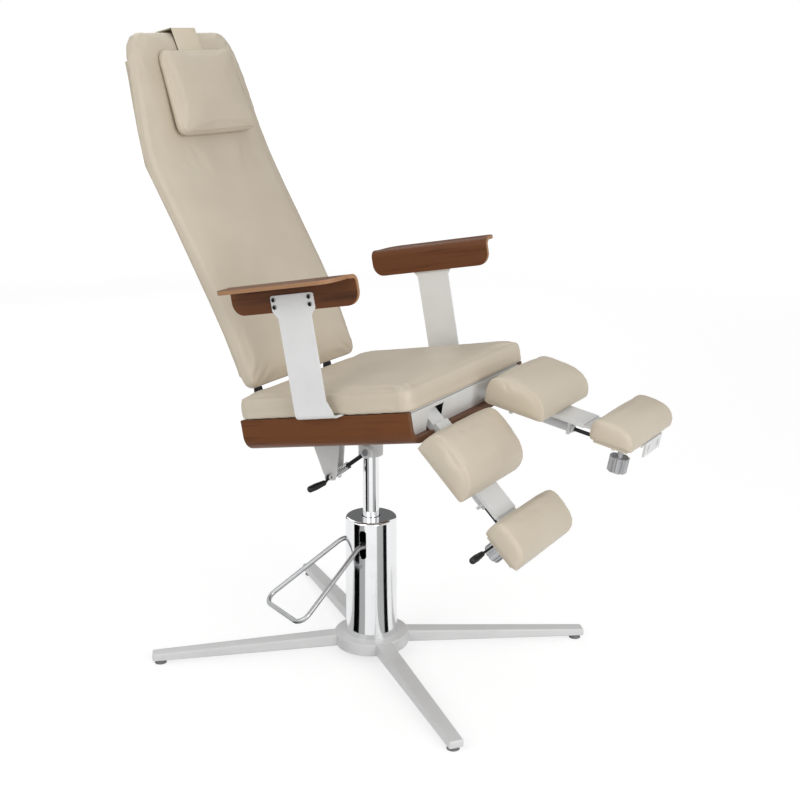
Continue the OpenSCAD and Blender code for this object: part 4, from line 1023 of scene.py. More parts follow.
@dataclass
class Pump:
    """The foot pump: a chrome cover over its cylinder, and the piston that lifts the seat."""

    rim: float = 0.006
    wall: float = 0.002
    hole: float = 0.0195
    slot_from: float = 0.02
    slot_to: float = 0.09
    slot_half: float = 0.0058
    slot_low: float = 0.231
    slot_high: float = 0.294
    slot_side: float = 0.0335
    slot_round_share: float = 0.98
    sides: int = 96

    def _slot_cutter(self, side: int) -> Bench:
        """Models the round-ended bar that cuts one pedal slot."""
        y = side * self.slot_side
        cutter = Bench.block("slot_cutter", (self.slot_from, y - self.slot_half, self.slot_low),
                             (self.slot_to, y + self.slot_half, self.slot_high))
        with cutter.picked(Part.EDGE, lambda spot: abs(spot.along.x) > FACING):
            round_off(self.slot_half * self.slot_round_share, 8)
        return cutter.settle(PEDAL)

    def _cover(self) -> None:
        """Models the cover: a tube with a rolled rim, a hole for the rod and two slots."""
        extent = FLOOR.extent("pump_cover")
        radius, top = extent.size.x / 2, extent.high.z
        cover = Bench.rod("pump_shell", radius, (0, 0, extent.low.z), (0, 0, top), self.sides)
        with cover.picked(Part.FACE, lambda spot: spot.normal.z > FACING):
            round_off(self.rim, 6)
        with cover.picked(Part.FACE, lambda spot: spot.normal.z > FLAT):
            bpy.ops.mesh.inset(thickness=radius - self.rim - self.hole)
        with cover.picked(Part.FACE, lambda spot: abs(spot.normal.z) > FLAT and spot.middle.xy.length < NEAR):
            bpy.ops.mesh.delete(type="FACE")
        cover.modify("SOLIDIFY", thickness=self.wall, offset=-1)
        cover.cut(self._slot_cutter(-1), self._slot_cutter(1))
        cover.soften(0.35 * MM).smooth().fit("pump_cover", CHROME)

    def build(self) -> None:
        """Builds the pump and its piston."""
        self._cover()
        refine(DARK_STEEL_AND_SOCKET_SHADE, 0.6 * MM, "pump_cylinder", "pedal_bracket")
        refine(BRONZE, 0.4 * MM, "pump_bush", "thrust_washer")
        refine(CHROME, 0.8 * MM, "piston_rod")


@dataclass
class Pedal:
    """The bent-wire pedal on its shaft."""

    wire: float = 0.005
    shaft_out: float = 0.035
    root_half: float = 0.0335
    shaft_height: float = 0.258
    bend_out: float = 0.054
    far_out: float = 0.221
    far_half: float = 0.077
    far_height: float = 0.143
    bend: float = 0.022

    def build(self) -> None:
        """Builds the loop as one bent bar, with its shaft."""
        half_path = [
            (self.shaft_out, self.root_half, self.shaft_height),
            (self.bend_out, self.root_half, self.shaft_height),
            (self.far_out, self.far_half, self.far_height),
        ]
        path = half_path + [(x, -y, z) for x, y, z in reversed(half_path)]
        loop = Bench.bent_bar("pedal_wire", self.wire, path, self.bend)
        loop.settle(PEDAL).smooth().fit("pedal_loop", SATIN)
        refine(STEEL, 0.5 * MM, "pedal_shaft")


@dataclass
class Handle:
    """A moulded grip that swells towards its end."""

    radius: float
    neck_share: float = 0.74
    end_share: float = 0.9
    swell_share: float = 0.55
    neck_round_share: float = 0.25
    end_round_share: float = 0.72
    sides: int = 32

    def build(self, name: str, start: Vector, end: Vector) -> Bench:
        """Models the grip between two points.

        Args:
            name: Name of the piece.
            start: Where the rod enters the grip.
            end: Far end of the grip.

        Returns:
            The grip on the bench.
        """
        run = end - start
        grip = Bench.rod(name, self.radius, start, end, self.sides)
        forward = run.normalized()
        with grip.picked(Part.FACE):
            bpy.ops.mesh.bisect(plane_co=start + run * self.swell_share, plane_no=forward)
        with grip.picked(Part.FACE, lambda spot: spot.normal.dot(forward) < -FACING):
            resize((self.neck_share,) * 3, start)
            round_off(self.radius * self.neck_round_share, 4)
        with grip.picked(Part.FACE, lambda spot: spot.normal.dot(forward) > FACING):
            resize((self.end_share,) * 3, end)
            round_off(self.radius * self.end_round_share, 6)
        return grip.smooth()


@dataclass
class TiltGear:
    """Column head, tilt pin, locking strut and the lever that frees it."""

    pivot_side: float = 0.019
    lever_reach: float = 0.016
    lever_drop: float = 0.006
    grip_radius: float = 0.0075
    grip_run: Triple = (-0.016, -0.032, -0.005)

    def _lever(self) -> None:
        """Models the lever's grip; its rod and pivot keep the CAD's shape."""
        pivot = SEAT.matrix.inverted() @ STRUT.matrix.to_translation()
        start = pivot - Vector((0, self.pivot_side + self.lever_reach, self.lever_drop))
        run = Vector(self.grip_run)
        end = start + run + run.normalized() * self.grip_radius
        Handle(self.grip_radius).build("tilt_handle", start, end).settle(SEAT).fit("tilt_grip", GRIP)
        refine(DARK_STEEL_AND_SOCKET_SHADE, 0.3 * MM, "tilt_lever")

    def build(self) -> None:
        """Builds the tilt gear."""
        refine(WHITE_PAINT, 0.8 * MM, "column_head", "seat_mount", "tilt_bracket", "strut_eye")
        refine(STEEL, 0.5 * MM, "strut_pin", "tilt_pin", "bracket_pin")
        refine(CHROME, 0.25 * MM, "strut_barrel")
        refine(DARK_STEEL_AND_SOCKET_SHADE, 0.4 * MM, "strut_rod")
        self._lever()


@dataclass
class SeatTray:
    """The bent-ply tray with its board, apron and leg shaft."""

    ply: float = 0.012
    outer_round: float = 0.031
    notch_in: float = 0.098
    notch_out: float = 0.155
    notch_length: float = 0.027
    edge: float = 0.0008

    def _tray(self) -> None:
        """Models the tray: a flat floor, two spun bends and two raised sides."""
        extent = SEAT.extent("seat_tray")
        half, low, top = extent.high.y, extent.low.z, extent.high.z
        flat = half - self.outer_round
        corners = (extent.low.x, -flat, low), (extent.high.x, flat, low)
        tray = Bench.sheet("tray_ply", *corners, LEVEL)
        for side in Side:
            with tray.picked(Part.EDGE, lambda spot: spot.middle.y * side.sign > flat - NEAR):
                turn_edge(90 * side.sign, (0, flat * side.sign, low + self.outer_round), (1, 0, 0))
                draw_out((0, 0, top - low - self.outer_round))
        tray.open_away_from((0, 0, top))
        tray.coat(WALNUT, TRAY_EDGE)
        tray.modify("SOLIDIFY", thickness=self.ply, offset=-1, material_offset_rim=1)
        for side in Side:
            near, far = sorted((self.notch_in * side.sign, self.notch_out * side.sign))
            cutter = Bench.block("notch_cutter", (extent.high.x - self.notch_length, near, low - self.ply),
                                 (extent.high.x + self.ply, far, low + self.ply + NEAR))
            tray.cut(cutter)
        tray.soften(self.edge).settle(SEAT).smooth().fit("seat_tray", WALNUT)

    def build(self) -> None:
        """Builds the tray and what it carries."""
        self._tray()
        keep(WHITE_PAINT, "seat_board")
        refine(WHITE_PAINT, 0.4 * MM, "front_apron")
        refine(STEEL, 0.5 * MM, "leg_shaft")
        refine(DARK_STEEL_AND_SOCKET_SHADE, 0.6 * MM, "shaft_bearings")


@dataclass
class ArmSupport:
    """One bent steel post with the bent-ply armrest that is screwed to it."""

    side: Side
    post_sheet: float = 0.004
    post_width: float = 0.076
    post_bend: float = 0.012
    head_height: float = 0.030
    shoulder: float = 0.014
    flare: float = 0.022
    head_over: float = 0.011
    head_corner: float = 0.005
    ply: float = 0.008
    layer: float = 1.3 * MM
    arm_bend: float = 0.016
    arm_corner: float = 0.026
    setback: float = 0.012

    def _post(self) -> None:
        """Models the post: a head plate, shoulders, a flared foot and a spun bend."""
        name = f"post_{self.side.value}"
        sign = self.side.sign
        extent = SEAT.extent(name)
        out, inner = extent.outer, extent.inner
        over = self.head_over
        back = extent.low.x + over
        front = back + self.post_width
        top, low = extent.high.z, extent.low.z + self.post_bend
        y = out * sign
        shoulder_low = top - self.head_height - self.shoulder
        start = low + 2 * self.post_bend
        post = Bench.sheet(f"{name}_steel", (back, y, start), (front, y, shoulder_low), UPRIGHT)
        with post.picked(Part.EDGE, lambda spot: spot.middle.z > shoulder_low - NEAR):
            draw_out((0, 0, self.shoulder))
            stretch = 1 + 2 * over / self.post_width
            resize((stretch, 1, 1), ((back + front) / 2, y, top))
            draw_out((0, 0, self.head_height))
        with post.picked(Part.EDGE, lambda spot: spot.middle.z < start + NEAR):
            draw_out((0, 0, low - start))
            flared = 1 + self.flare / 2 / self.post_width
            resize((flared, 1, 1), (back, y, low))
            centre = (0, y - self.post_bend * sign, low)
            turn_edge(-90 * sign, centre, (1, 0, 0))
            reach = out - self.post_bend - inner
            draw_out((0, -reach * sign, 0))
            tip = (extent.high.x - back) / (self.post_width + self.flare / 2)
            resize((tip, 1, 1), (back, 0, low))
        corner = top - NEAR
        with post.picked(Part.VERT, lambda spot: spot.middle.z > corner):
            round_off(self.head_corner, 5, "VERTICES")
        post.open_away_from(((back + front) / 2, 0, top / 2))
        post.modify("SOLIDIFY", thickness=self.post_sheet, offset=-1)
        post.soften(0.5 * MM).settle(SEAT).smooth().fit(name, WHITE_PAINT)

    def _armrest(self) -> None:
        """Models the armrest: an upright flange, a spun bend and a flat flange."""
        name = f"armrest_{self.side.value}"
        sign = self.side.sign
        extent = SEAT.extent(name)
        out, inner = extent.outer, extent.inner
        back, front, top = extent.low.x, extent.high.x, extent.high.z
        bend_z = top - self.arm_bend
        corners = (back, inner * sign, extent.low.z), (front, inner * sign, bend_z)
        arm = Bench.sheet(f"{name}_ply", *corners, UPRIGHT)
        with arm.picked(Part.EDGE, lambda spot: spot.middle.z > bend_z - NEAR):
            centre = (0, (inner + self.arm_bend) * sign, bend_z)
            turn_edge(-90 * sign, centre, (1, 0, 0))
            narrow = 1 - 2 * self.setback / (front - back)
            resize((narrow, 1, 1), ((back + front) / 2, 0, top))
            reach = out - inner - self.arm_bend
            draw_out((0, reach * sign, 0))
        limit, foot = out - NEAR, extent.low.z + NEAR
        with arm.picked(Part.VERT, lambda spot: abs(spot.middle.y) > limit or spot.middle.z < foot):
            round_off(self.arm_corner, 8, "VERTICES")
        edge = PlyEdge("ply_edge_arm", "ply", inner, top, self.layer,
                       pale=linear(172, 130, 94), deep=linear(134, 92, 60))
        arm.open_away_from(((back + front) / 2, out * sign, extent.low.z))
        arm.coat(ARM_WALNUT, edge)
        arm.modify("SOLIDIFY", thickness=self.ply, offset=-1, material_offset_rim=1)
        arm.soften(0.9 * MM).settle(SEAT).smooth().fit(name, ARM_WALNUT)

    def build(self) -> None:
        """Builds the post and its armrest."""
        self._post()
        self._armrest()


@dataclass
class Screws:
    """The eight socket screws that hold the armrests."""

    head_radius: float = 0.0045
    head_height: float = 0.0025
    head_round: float = 0.6 * MM
    socket_radius: float = 0.0024
    socket_depth: float = 0.0016
    edge: float = 0.008
    plate_width: float = 0.098
    plate_height: float = 0.030

    def _screw(self) -> Bench:
        """Models one screw head along Y, with its hexagonal socket painted dark inside as shade."""
        head = Bench.rod("screw", self.head_radius, (0, 0, 0), (0, self.head_height, 0), 32)
        with head.picked(Part.FACE, lambda spot: spot.normal.y > FACING):
            round_off(self.head_round, 3)
        floor = self.head_height - self.socket_depth
        above = (0, 2 * self.head_height, 0)
        socket = Bench.rod("socket_cutter", self.socket_radius, (0, floor, 0), above, 6)
        head.cut(socket).coat(STEEL, DARK_STEEL_AND_SOCKET_SHADE)
        # Painted shade: the faces inside the socket take the dark steel finish.
        inside = self.socket_radius * 1.02
        head.coat_where(1, lambda middle, normal: middle.xz.length < inside and middle.y > 0)
        return head.smooth()

    def build(self) -> None:
        """Builds the screws on both posts."""
        screw = self._screw()
        mirror = Matrix.Rotation(math.pi, 4, "Z")
        number = 0
        for side in Side:
            post = SEAT.extent(f"post_{side.value}")
            out = post.outer * side.sign
            back = post.low.x
            turn = Matrix.Identity(4) if side is Side.LEFT else mirror
            for x in (back + self.edge, back + self.plate_width - self.edge):
                for z in (post.high.z - self.plate_height + self.edge, post.high.z - self.edge):
                    number += 1
                    move = SEAT.matrix @ Matrix.Translation((x, out, z)) @ turn
                    placed = screw.again(f"armrest_screw_{number}", move)
                    placed.fit("armrest_screws", STEEL, replaces=number == 1)
        bpy.data.objects.remove(screw.piece)


@dataclass
class Cushion:
    """One stuffed piece, whose cover is swelled by a short cloth simulation.

    Attributes:
        node: The CAD node that it stands for.
        up: Direction away from the board on which it rests.
        voxel: Size of the cover's mesh.
        swell: Farthest that the simulation may move a point.
        fill: Share of the piece that is filled; not used.
        plump: Even growth before the simulation.
        wrap: How far the resting side is drawn back over its board's edges.
        wrap_shares: Shares of the height between which that fades out.
        seams: Direction and height of each seam's plane.
    """

    node: str
    up: Vector
    voxel: float = 0.005
    swell: float = 0.0035
    fill: float = 0.7
    pressure: float = 4.0
    relax: int = 1
    frames: int = 20
    plump: float = 0.0
    wrap: float = 0.0
    wrap_shares: tuple[float, float] = (0.7, 0.98)
    seams: tuple[tuple[Vector, float], ...] = ()
    rest_share: float = 0.6
    seam_half: float = 0.0032
    seam_depth: float = 0.0013

    def _hold(self, piece: bpy.types.Object) -> None:
        """Puts the side that rests on its board in a group that stays still."""
        group = piece.vertex_groups.new(name="resting")
        resting = [vertex.index for vertex in piece.data.vertices
                   if vertex.normal.dot(self.up) < -self.rest_share]
        group.add(resting, 1.0, "REPLACE")

    def _swell(self, bench: Bench) -> None:
        """Runs the cloth simulation and limits how far it moves the cover."""
        piece = bench.piece
        before = [vertex.co.copy() for vertex in piece.data.vertices]
        choose_only(piece)
        cloth = piece.modifiers.new("stuffing", "CLOTH")
        cloth.settings.use_pressure = True
        cloth.settings.uniform_pressure_force = self.pressure
        cloth.settings.effector_weights.gravity = 0
        cloth.settings.vertex_group_mass = "resting"
        cloth.settings.quality = 4
        cloth.point_cache.frame_start = 1
        cloth.point_cache.frame_end = self.frames
        for number in range(1, self.frames + 1):
            bpy.context.scene.frame_set(number)
        bpy.ops.object.modifier_apply(modifier=cloth.name)
        bpy.context.scene.frame_set(1)
        for vertex, start in zip(piece.data.vertices, before):
            move = vertex.co - start
            if move.length > self.swell:
                vertex.co = start + move.normalized() * self.swell

    def _draw_back(self, piece: bpy.types.Object) -> None:
        """Draws the resting side back over its board's edges, up to near its top."""
        along = self.up.cross(Vector((0, 1, 0)))
        points = [(vertex, vertex.co.dot(self.up), vertex.co.dot(along)) for vertex in piece.data.vertices]
        rear, front = (pick(deep for _, deep, _ in points) for pick in (min, max))
        low, top = (pick(high for _, _, high in points) for pick in (min, max))
        start, end = self.wrap_shares
        for vertex, deep, high in points:
            rise = min(max(((high - low) / (top - low) - start) / (end - start), 0), 1)
            fade = 1 - rise * rise * (3 - 2 * rise)
            vertex.co -= self.up * self.wrap * fade * (front - deep) / (front - rear)

    def _sew(self, piece: bpy.types.Object) -> None:
        """Draws the cover in along its seams, each a plane at a height over the lowest point."""
        for direction, height in self.seams:
            line = min(vertex.co.dot(direction) for vertex in piece.data.vertices) + height
            for vertex in piece.data.vertices:
                away = abs(vertex.co.dot(direction) - line) / self.seam_half
                if away < 1:
                    vertex.co -= vertex.normal * self.seam_depth * (1 - away * away) ** 2

    def build(self, finish: Finish) -> bpy.types.Object:
        """Builds the cushion.

        Args:
            finish: Its cover.

        Returns:
            The finished piece.
        """
        bench = Bench.copy(self.node, f"{self.node}_cover")
        bench.modify("REMESH", mode="VOXEL", voxel_size=self.voxel)
        if self.wrap:
            self._draw_back(bench.piece)
        if self.plump:
            bench.modify("DISPLACE", strength=self.plump, mid_level=0.0)
        bench.modify("SMOOTH", factor=0.5, iterations=self.relax)
        self._hold(bench.piece)
        self._swell(bench)
        bench.modify("SMOOTH", factor=0.4, iterations=1)
        bench.modify("SUBSURF", levels=1, render_levels=1)
        self._sew(bench.piece)
        choose_only(bench.piece)
        bpy.ops.object.shade_smooth()
        piece = bench.coat(finish).fit(self.node, finish)
        return piece


@dataclass
class Backrest:
    """The reclining back: its steel arms, board, cushion, strap and head pillow."""

    lean: float = 9.6
    board_wrap: float = 0.007
    pillow_seam: float = 0.019
    pillow_swell: float = 0.0025
    pillow_fill: float = 0.8
    pillow_plump: float = 1.2 * MM
    strap_lift: float = 0.0045
    strap_depth: float = 0.008
    forward: Vector = field(init=False)

    def __post_init__(self) -> None:
        """Works out the direction in which the backrest faces."""
        turn = Matrix.Rotation(math.radians(-self.lean), 3, "Y")
        self.forward = SEAT.matrix.to_3x3() @ turn @ Vector((1, 0, 0))

    def _strap(self) -> None:
        """Lays the strap, in a lighter vinyl that paints light on it, over the cushion's swell, and paints
        its side edges dark as shade.
        """
        # Painted light: the strap's vinyl is a lighter copy of the cushions' vinyl.
        strap = softened("head_strap", 0.3 * MM).coat(LIT_STRAP_VINYL, BACK_SHELL_AND_STRAP_SHADE)
        front = max(vertex.co.dot(self.forward) for vertex in strap.piece.data.vertices) - self.strap_depth
        with strap.picked(Part.VERT, lambda spot: spot.middle.dot(self.forward) > front):
            bpy.ops.transform.translate(value=self.forward * self.strap_lift)
        # Painted shade: the side faces of the strap's front run take the dark board finish, as the shade line
        # along its edges.
        strap.coat_where(
            1, lambda middle, normal: abs(normal.y) > ACROSS and middle.dot(self.forward) > front)
        strap.smooth().fit("head_strap", LIT_STRAP_VINYL)

    def _board(self) -> None:
        """Gives the board its dark rear and the cover that is drawn round its edges."""
        board = softened("back_board", 0.8 * MM).coat(BACK_SHELL_AND_STRAP_SHADE, VINYL)
        board.coat_where(1, lambda middle, normal: abs(normal.dot(self.forward)) < ACROSS)
        board.smooth().fit("back_board", BACK_SHELL_AND_STRAP_SHADE)

    def build(self) -> None:
        """Builds the backrest."""
        refine(DARK_STEEL_AND_SOCKET_SHADE, 0.6 * MM, "back_brackets", "back_arms")
        refine(STEEL, 0.5 * MM, "pivot_tube")
        self._board()
        Cushion("back_cushion", self.forward, wrap=self.board_wrap).build(VINYL)
        self._strap()
        seam = ((self.forward, self.pillow_seam),)
        Cushion("head_pillow", self.forward, FINE_VOXEL, self.pillow_swell, self.pillow_fill,
                plump=self.pillow_plump, seams=seam).build(VINYL)


@dataclass
class LegRest:
    """One leg rest: its arm, sliding plate, two pads, gas spring, lever and knob."""

    side: Side
    pull: float = 0.0
    gas_depth: float = 0.023
    gas_radius: float = 0.009
    gas_from: float = 0.078
    gas_to: float = 0.214
    collar: float = 0.007
    collar_step: float = 0.0016
    release_s: float = 0.2808
    release_out: float = 0.017
    release_fall: float = 0.012
    grip_from: float = 0.068
    grip_neck: float = 0.092
    grip_to: float = 0.126
    grip_radius: float = 0.007
    neck_share: float = 0.7
    lever_radius: float = 0.0025
    knob_s: float = 0.289
    knob_top: float = 0.045
    knob_radius: float = 0.020
    knob_height: float = 0.031
    knob_rim: float = 3.0 * MM
    knob_dish: float = 0.8 * MM
    knob_round: float = 1.4 * MM
    stem_radius: float = 0.006
    flutes: int = 8
    flute_radius: float = 0.0036
    rod_radius: float = 0.0046
    pad_seam: float = 0.0045
    pad_seam_half: float = 0.0026
    pad_seam_depth: float = 0.0009
    pad_swell: float = 0.002
    pad_plump: float = 1.0 * MM

    @property
    def place(self) -> Place:
        """Frame of this leg rest, on its middle plane."""
        held = LEG[self.side].matrix
        return Place(held @ Matrix.Translation((0, LEG_Y * self.side.sign, 0)))

    def _named(self, part: str) -> str:
        """Name of a node on this side."""
        return f"{part}_{self.side.value}"

    def _gas_spring(self) -> None:
        """Models the gas spring's tube with a stepped, rolled collar at its front."""
        depth = -self.gas_depth
        step = self.gas_to - self.collar
        name = self._named("gas_cylinder")
        tube = Bench.rod(f"{name}_tube", self.gas_radius, (self.gas_from, 0, depth), (step, 0, depth), 48)
        with tube.picked(Part.FACE, lambda spot: spot.normal.x > FACING):
            bpy.ops.mesh.inset(thickness=self.collar_step)
            draw_out((self.collar, 0, 0))
        tube.soften(1.2 * MM, 4).settle(self.place).smooth().fit(name, CYLINDER_PAINT)

    def _lever_point(self, out: float) -> Vector:
        """Point on the release lever at a distance from the leg's middle."""
        share = (out - self.release_out) / (self.grip_to - self.release_out)
        height = -self.gas_depth - self.release_fall * share
        return Vector((self.release_s + self.pull, out * self.side.sign, height))

    def _release(self) -> None:
        """Models the release lever's grip on its rod."""
        name = self._named("release_grip")
        start, neck = self._lever_point(self.grip_from), self._lever_point(self.grip_neck)
        tip = self._lever_point(self.grip_to)
        end = tip + (tip - neck).normalized() * self.grip_radius
        rod = Bench.rod("lever_sleeve", self.lever_radius, start, neck)
        grip = Handle(self.grip_radius, self.neck_share).build(f"{name}_handle", neck, end).join(rod)
        grip.settle(self.place).smooth().fit(name, GRIP)
        refine(DARK_STEEL_AND_SOCKET_SHADE, 0.3 * MM, self._named("release"))

    def _knob(self) -> None:
        """Models the fluted knob under its stem."""
        name = self._named("clamp_knob")
        at = self.knob_s + self.pull
        low = -self.knob_top - self.knob_height
        knob = Bench.rod(f"{name}_cast", self.knob_radius, (at, 0, low), (at, 0, -self.knob_top), 96)
        cutters = []
        for number in range(self.flutes):
            angle = math.tau * number / self.flutes
            reach = self.knob_radius + self.flute_radius / 2
            spot = Vector((at + reach * math.cos(angle), reach * math.sin(angle), low))
            run = Vector((0, 0, self.knob_height))
            cutters.append(Bench.rod("flute_cutter", self.flute_radius, spot - run, spot + run * 2, 32))
        knob.cut(*cutters)
        with knob.picked(Part.FACE, lambda spot: spot.normal.z < -FACING):
            bpy.ops.mesh.inset(thickness=self.knob_rim, depth=-self.knob_dish)
        knob.soften(self.knob_round, 3)
        stem = Bench.rod("knob_stem", self.stem_radius, (at, 0, -self.knob_top - MM), (at, 0, 0), 32)
        knob.join(stem).settle(self.place).smooth().fit(name, KNOB_METAL)

    def _slide(self) -> None:
        """Gives the slide its coat and its gas rod the dark of bare steel."""
        node = self._named("slide")
        slide = softened(node, 0.6 * MM).coat(SLIDE_STEEL, DARK_STEEL_AND_SOCKET_SHADE)
        slide.coat_where(
            1, lambda middle, normal: math.hypot(middle.y, middle.z + self.gas_depth) < self.rod_radius,
            self.place)
        slide.smooth().fit(node, SLIDE_STEEL)

    def build(self) -> None:
        """Builds the leg rest."""
        up = self.place.matrix.to_3x3() @ Vector((0, 0, 1))
        refine(WHITE_PAINT, 0.6 * MM, self._named("leg_arm"))
        self._slide()
        keep(VINYL, self._named("calf_board"), self._named("heel_board"))
        self._gas_spring()
        self._release()
        self._knob()
        seams = tuple((Vector((0, sign, 0)), self.pad_seam) for sign in (-1, 1))
        for pad in ("calf_pad", "heel_pad"):
            Cushion(self._named(pad), up, FINE_VOXEL, self.pad_swell, plump=self.pad_plump, seams=seams,
                    seam_half=self.pad_seam_half, seam_depth=self.pad_seam_depth).build(VINYL)


@dataclass
class Studio:
    """Camera at the photograph's view, a pale floor, soft lamps and cards for the polished metal."""

    place: Triple = (1.4368, -2.3061, 1.3007)
    lens: float = 60.97
    sensor: float = 36.0
    pitch: float = 15.17
    turn: float = 30.63
    aim: Triple = (0.05, 0, 0.6)
    lamps: tuple[tuple, ...] = (  # name, place, size, power
        ("key_soft", (-0.6, -3.6, 2.6), 2.4, 44),
        ("fill_soft", (3.4, -1.6, 1.7), 2.2, 66),
        ("top_soft", (-0.4, 0.4, 3.6), 2.6, 18),
        ("rim_soft", (-2.6, 2.4, 2.2), 1.8, 20),
    )
    world_light: float = 0.45
    floor_size: float = 60.0
    glow_near: float = 0.68
    glow_rise: float = 0.22
    glow_fade: tuple[float, float] = (1.2, 9.0)
    shadow_share: float = 0.42
    wedge_start: float = 0.09
    wedges: tuple[tuple, ...] = (  # name, direction, spread, reach, height over the floor, grey
        ("card_left_dark", -124.0, 27.0, 4.0, 3 * MM, 4),
        ("card_left_grey", -98.0, 26.0, 4.0, 2 * MM, 176),
        ("card_right_dark", 3.0, 18.0, 1.0, 3 * MM, 8),
        ("card_right_grey", -11.0, 46.0, 4.0, 2 * MM, 184),
    )
    screen_turn: float = 122.0
    screen_grey: int = 110
    screen_from: float = 3.5
    screen_width: float = 6.0
    screen_low: float = 0.25
    screen_high: float = 3.2

    def _camera(self) -> None:
        """Puts the camera where the photograph was taken."""
        data = bpy.data.cameras.new("photo_camera")
        data.lens = self.lens
        data.sensor_width = self.sensor
        camera = bpy.data.objects.new("photo_camera", data)
        camera.location = self.place
        camera.rotation_euler = (math.radians(90 - self.pitch), 0, math.radians(self.turn))
        bpy.context.scene.collection.objects.link(camera)
        bpy.context.scene.camera = camera

    def _lamp(self, name: str, place: Sequence[float], size: float, power: float) -> None:
        """Adds one square soft lamp that faces the chair."""
        data = bpy.data.lights.new(name, "AREA")
        data.shape = "SQUARE"
        data.size = size
        data.energy = power
        lamp = bpy.data.objects.new(name, data)
        lamp.location = place
        lamp.rotation_mode = "QUATERNION"
        lamp.rotation_quaternion = (Vector(self.aim) - Vector(place)).to_track_quat("-Z", "Y")
        bpy.context.scene.collection.objects.link(lamp)

    def _seen_directly(self, shader: Shader) -> Value:
        """Share that is 1 for the camera's rays and for those through gloss or glass."""
        rays = shader.node("ShaderNodeLightPath")
        names = ("Is Camera Ray", "Is Glossy Ray", "Is Transmission Ray")
        first, second, third = (Value(shader, rays.outputs[name]) for name in names)
        return first.most(second).most(third)

    def _floor(self) -> None:
        """Lays the pale floor, which keeps the chair's soft shadow."""
        half = self.floor_size / 2
        floor = Bench.sheet("studio_floor", (-half, -half, 0), (half, half, 0), LEVEL)
        shader = Shader("floor_pale")
        shader.dress(Base_Color=linear(236, 236, 236), Roughness=0.9, Specular_IOR_Level=0.0)
        away = shader.value("ShaderNodeVectorMath", {"operation": "LENGTH"},
                            {0: shader.coordinates()}, "Value").between(*self.glow_fade)
        strength = self.glow_near + away * self.glow_rise
        glow = shader.node("ShaderNodeEmission", inputs={"Color": (1, 1, 1, 1), "Strength": strength})
        shade = (self.shadow_share,) * 3 + (1,)
        cover = shader.node("ShaderNodeBsdfDiffuse", inputs={"Color": shade})
        both = shader.node("ShaderNodeAddShader")
        shader.tree.links.new(glow.outputs[0], both.inputs[0])
        shader.tree.links.new(cover.outputs[0], both.inputs[1])
        choice = shader.node("ShaderNodeMixShader", inputs={0: self._seen_directly(shader)})
        shader.tree.links.new(shader.surface.outputs[0], choice.inputs[1])
        shader.tree.links.new(both.outputs[0], choice.inputs[2])
        shader.tree.links.new(choice.outputs[0], shader.tree.nodes["Material Output"].inputs[0])
        floor.piece.data.materials.append(shader.material)

    def _card(self, card: Bench, degrees: float, grey: int) -> None:
        """Stages a plain card, which shows only in polished and shiny surfaces.

        Args:
            card: The card, modelled along X.
            degrees: Direction of the card from the column.
            grey: Its grey from 0 to 255.
        """
        shader = Shader(card.piece.name)
        shader.dress(Base_Color=linear(0, 0, 0), Roughness=1.0, Specular_IOR_Level=0.0,
                     Emission_Color=linear(grey, grey, grey), Emission_Strength=1.0)
        card.piece.data.materials.append(shader.material)
        card.settle(Place(Matrix.Rotation(math.radians(degrees), 4, "Z")))
        card.piece.visible_camera = False
        card.piece.visible_diffuse = False
        card.piece.visible_transmission = False
        card.piece.visible_volume_scatter = False
        card.piece.visible_shadow = False

    def _wedge(self, name: str, degrees: float, spread: float, reach: float, height: float,
               grey: int) -> None:
        """Lays a card on the floor that widens away from the column.

        Args:
            name: Name of the card.
            degrees: Direction of the card from the column.
            spread: Angle of the card in degrees.
            reach: Distance of its far end from the column.
            height: Height over the floor.
            grey: Its grey from 0 to 255.
        """
        half = self.wedge_start * math.tan(math.radians(spread / 2))
        low, high = (self.wedge_start, -half, height), (reach, half, height)
        card = Bench.sheet(name, low, high, LEVEL)
        with card.picked(Part.EDGE, lambda spot: spot.middle.x > reach - MM):
            resize((1, reach / self.wedge_start, 1), (0, 0, 0))
        self._card(card, degrees, grey)

    def _cards(self) -> None:
        """Stages the cards that draw the dark and grey stripes of polished metal."""
        for wedge in self.wedges:
            self._wedge(*wedge)
        across, low, high = self.screen_width / 2, self.screen_low, self.screen_high
        upright = Euler((0, math.radians(90), 0))
        corners = (self.screen_from, -across, low), (self.screen_from, across, high)
        self._card(Bench.sheet("card_behind", *corners, upright), self.screen_turn, self.screen_grey)

    def _world(self) -> None:
        """Lights the scene evenly and shows white behind it."""
        world = bpy.data.worlds.new("studio_white")
        world.use_nodes = True
        bpy.context.scene.world = world
        tree = world.node_tree
        tree.nodes.clear()
        rays = tree.nodes.new("ShaderNodeLightPath")
        strength = tree.nodes.new("ShaderNodeMapRange")
        strength.inputs["To Min"].default_value = self.world_light
        strength.inputs["To Max"].default_value = 1.0
        seen = tree.nodes.new("ShaderNodeMath")
        seen.operation = "MAXIMUM"
        backdrop = tree.nodes.new("ShaderNodeBackground")
        output = tree.nodes.new("ShaderNodeOutputWorld")
        backdrop.inputs["Color"].default_value = (1, 1, 1, 1)
        link = tree.links.new
        either = tree.nodes.new("ShaderNodeMath")
        either.operation = "MAXIMUM"
        link(rays.outputs["Is Glossy Ray"], either.inputs[0])
        link(rays.outputs["Is Transmission Ray"], either.inputs[1])
        link(rays.outputs["Is Camera Ray"], seen.inputs[0])
        link(either.outputs[0], seen.inputs[1])
        link(seen.outputs[0], strength.inputs["Value"])
        link(strength.outputs[0], backdrop.inputs["Strength"])
        link(backdrop.outputs[0], output.inputs["Surface"])

    def build(self) -> None:
        """Builds the studio."""
        self._camera()
        for lamp in self.lamps:
            self._lamp(*lamp)
        self._floor()
        self._cards()
        self._world()
        bpy.context.scene.view_settings.view_transform = "Standard"


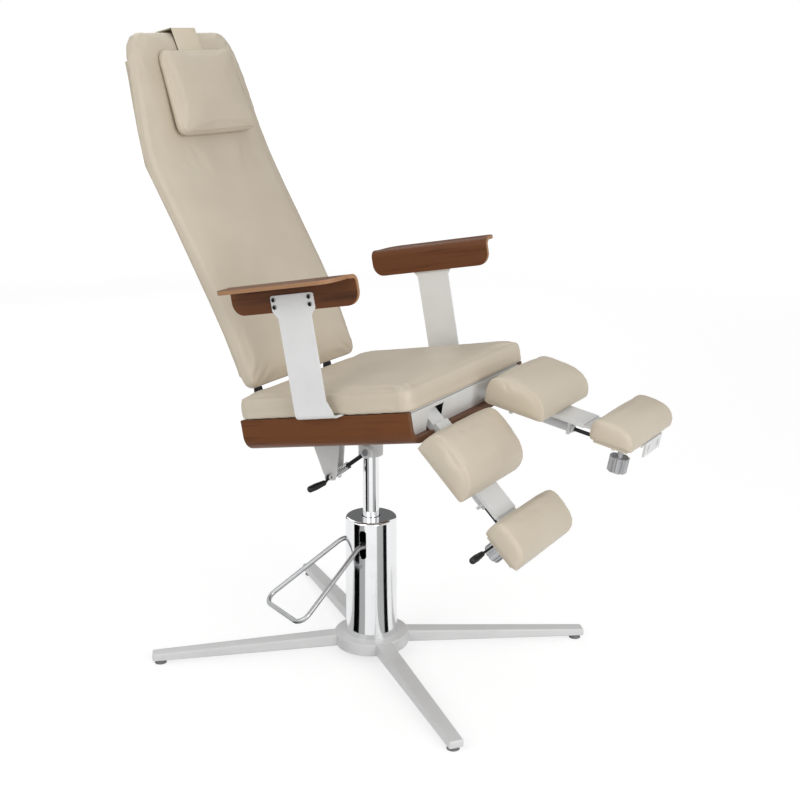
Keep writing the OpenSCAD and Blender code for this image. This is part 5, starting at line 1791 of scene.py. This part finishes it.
def main() -> None:
    """Builds every sub-assembly of the chair and its studio."""
    logging.basicConfig(level=logging.INFO, format="%(message)s")
    Studio().build()
    StarBase().build()
    Pump().build()
    Pedal().build()
    TiltGear().build()
    SeatTray().build()
    for side in Side:
        ArmSupport(side).build()
    Screws().build()
    up = SEAT.matrix.to_3x3() @ Vector((0, 0, 1))
    Cushion("seat_cushion", up, SEAT_VOXEL, SEAT_SWELL, seams=((up, SEAT_SEAM),)).build(VINYL)
    Backrest().build()
    LegRest(Side.RIGHT).build()
    LegRest(Side.LEFT, LEFT_PULL).build()


if __name__ == "__main__":
    main()
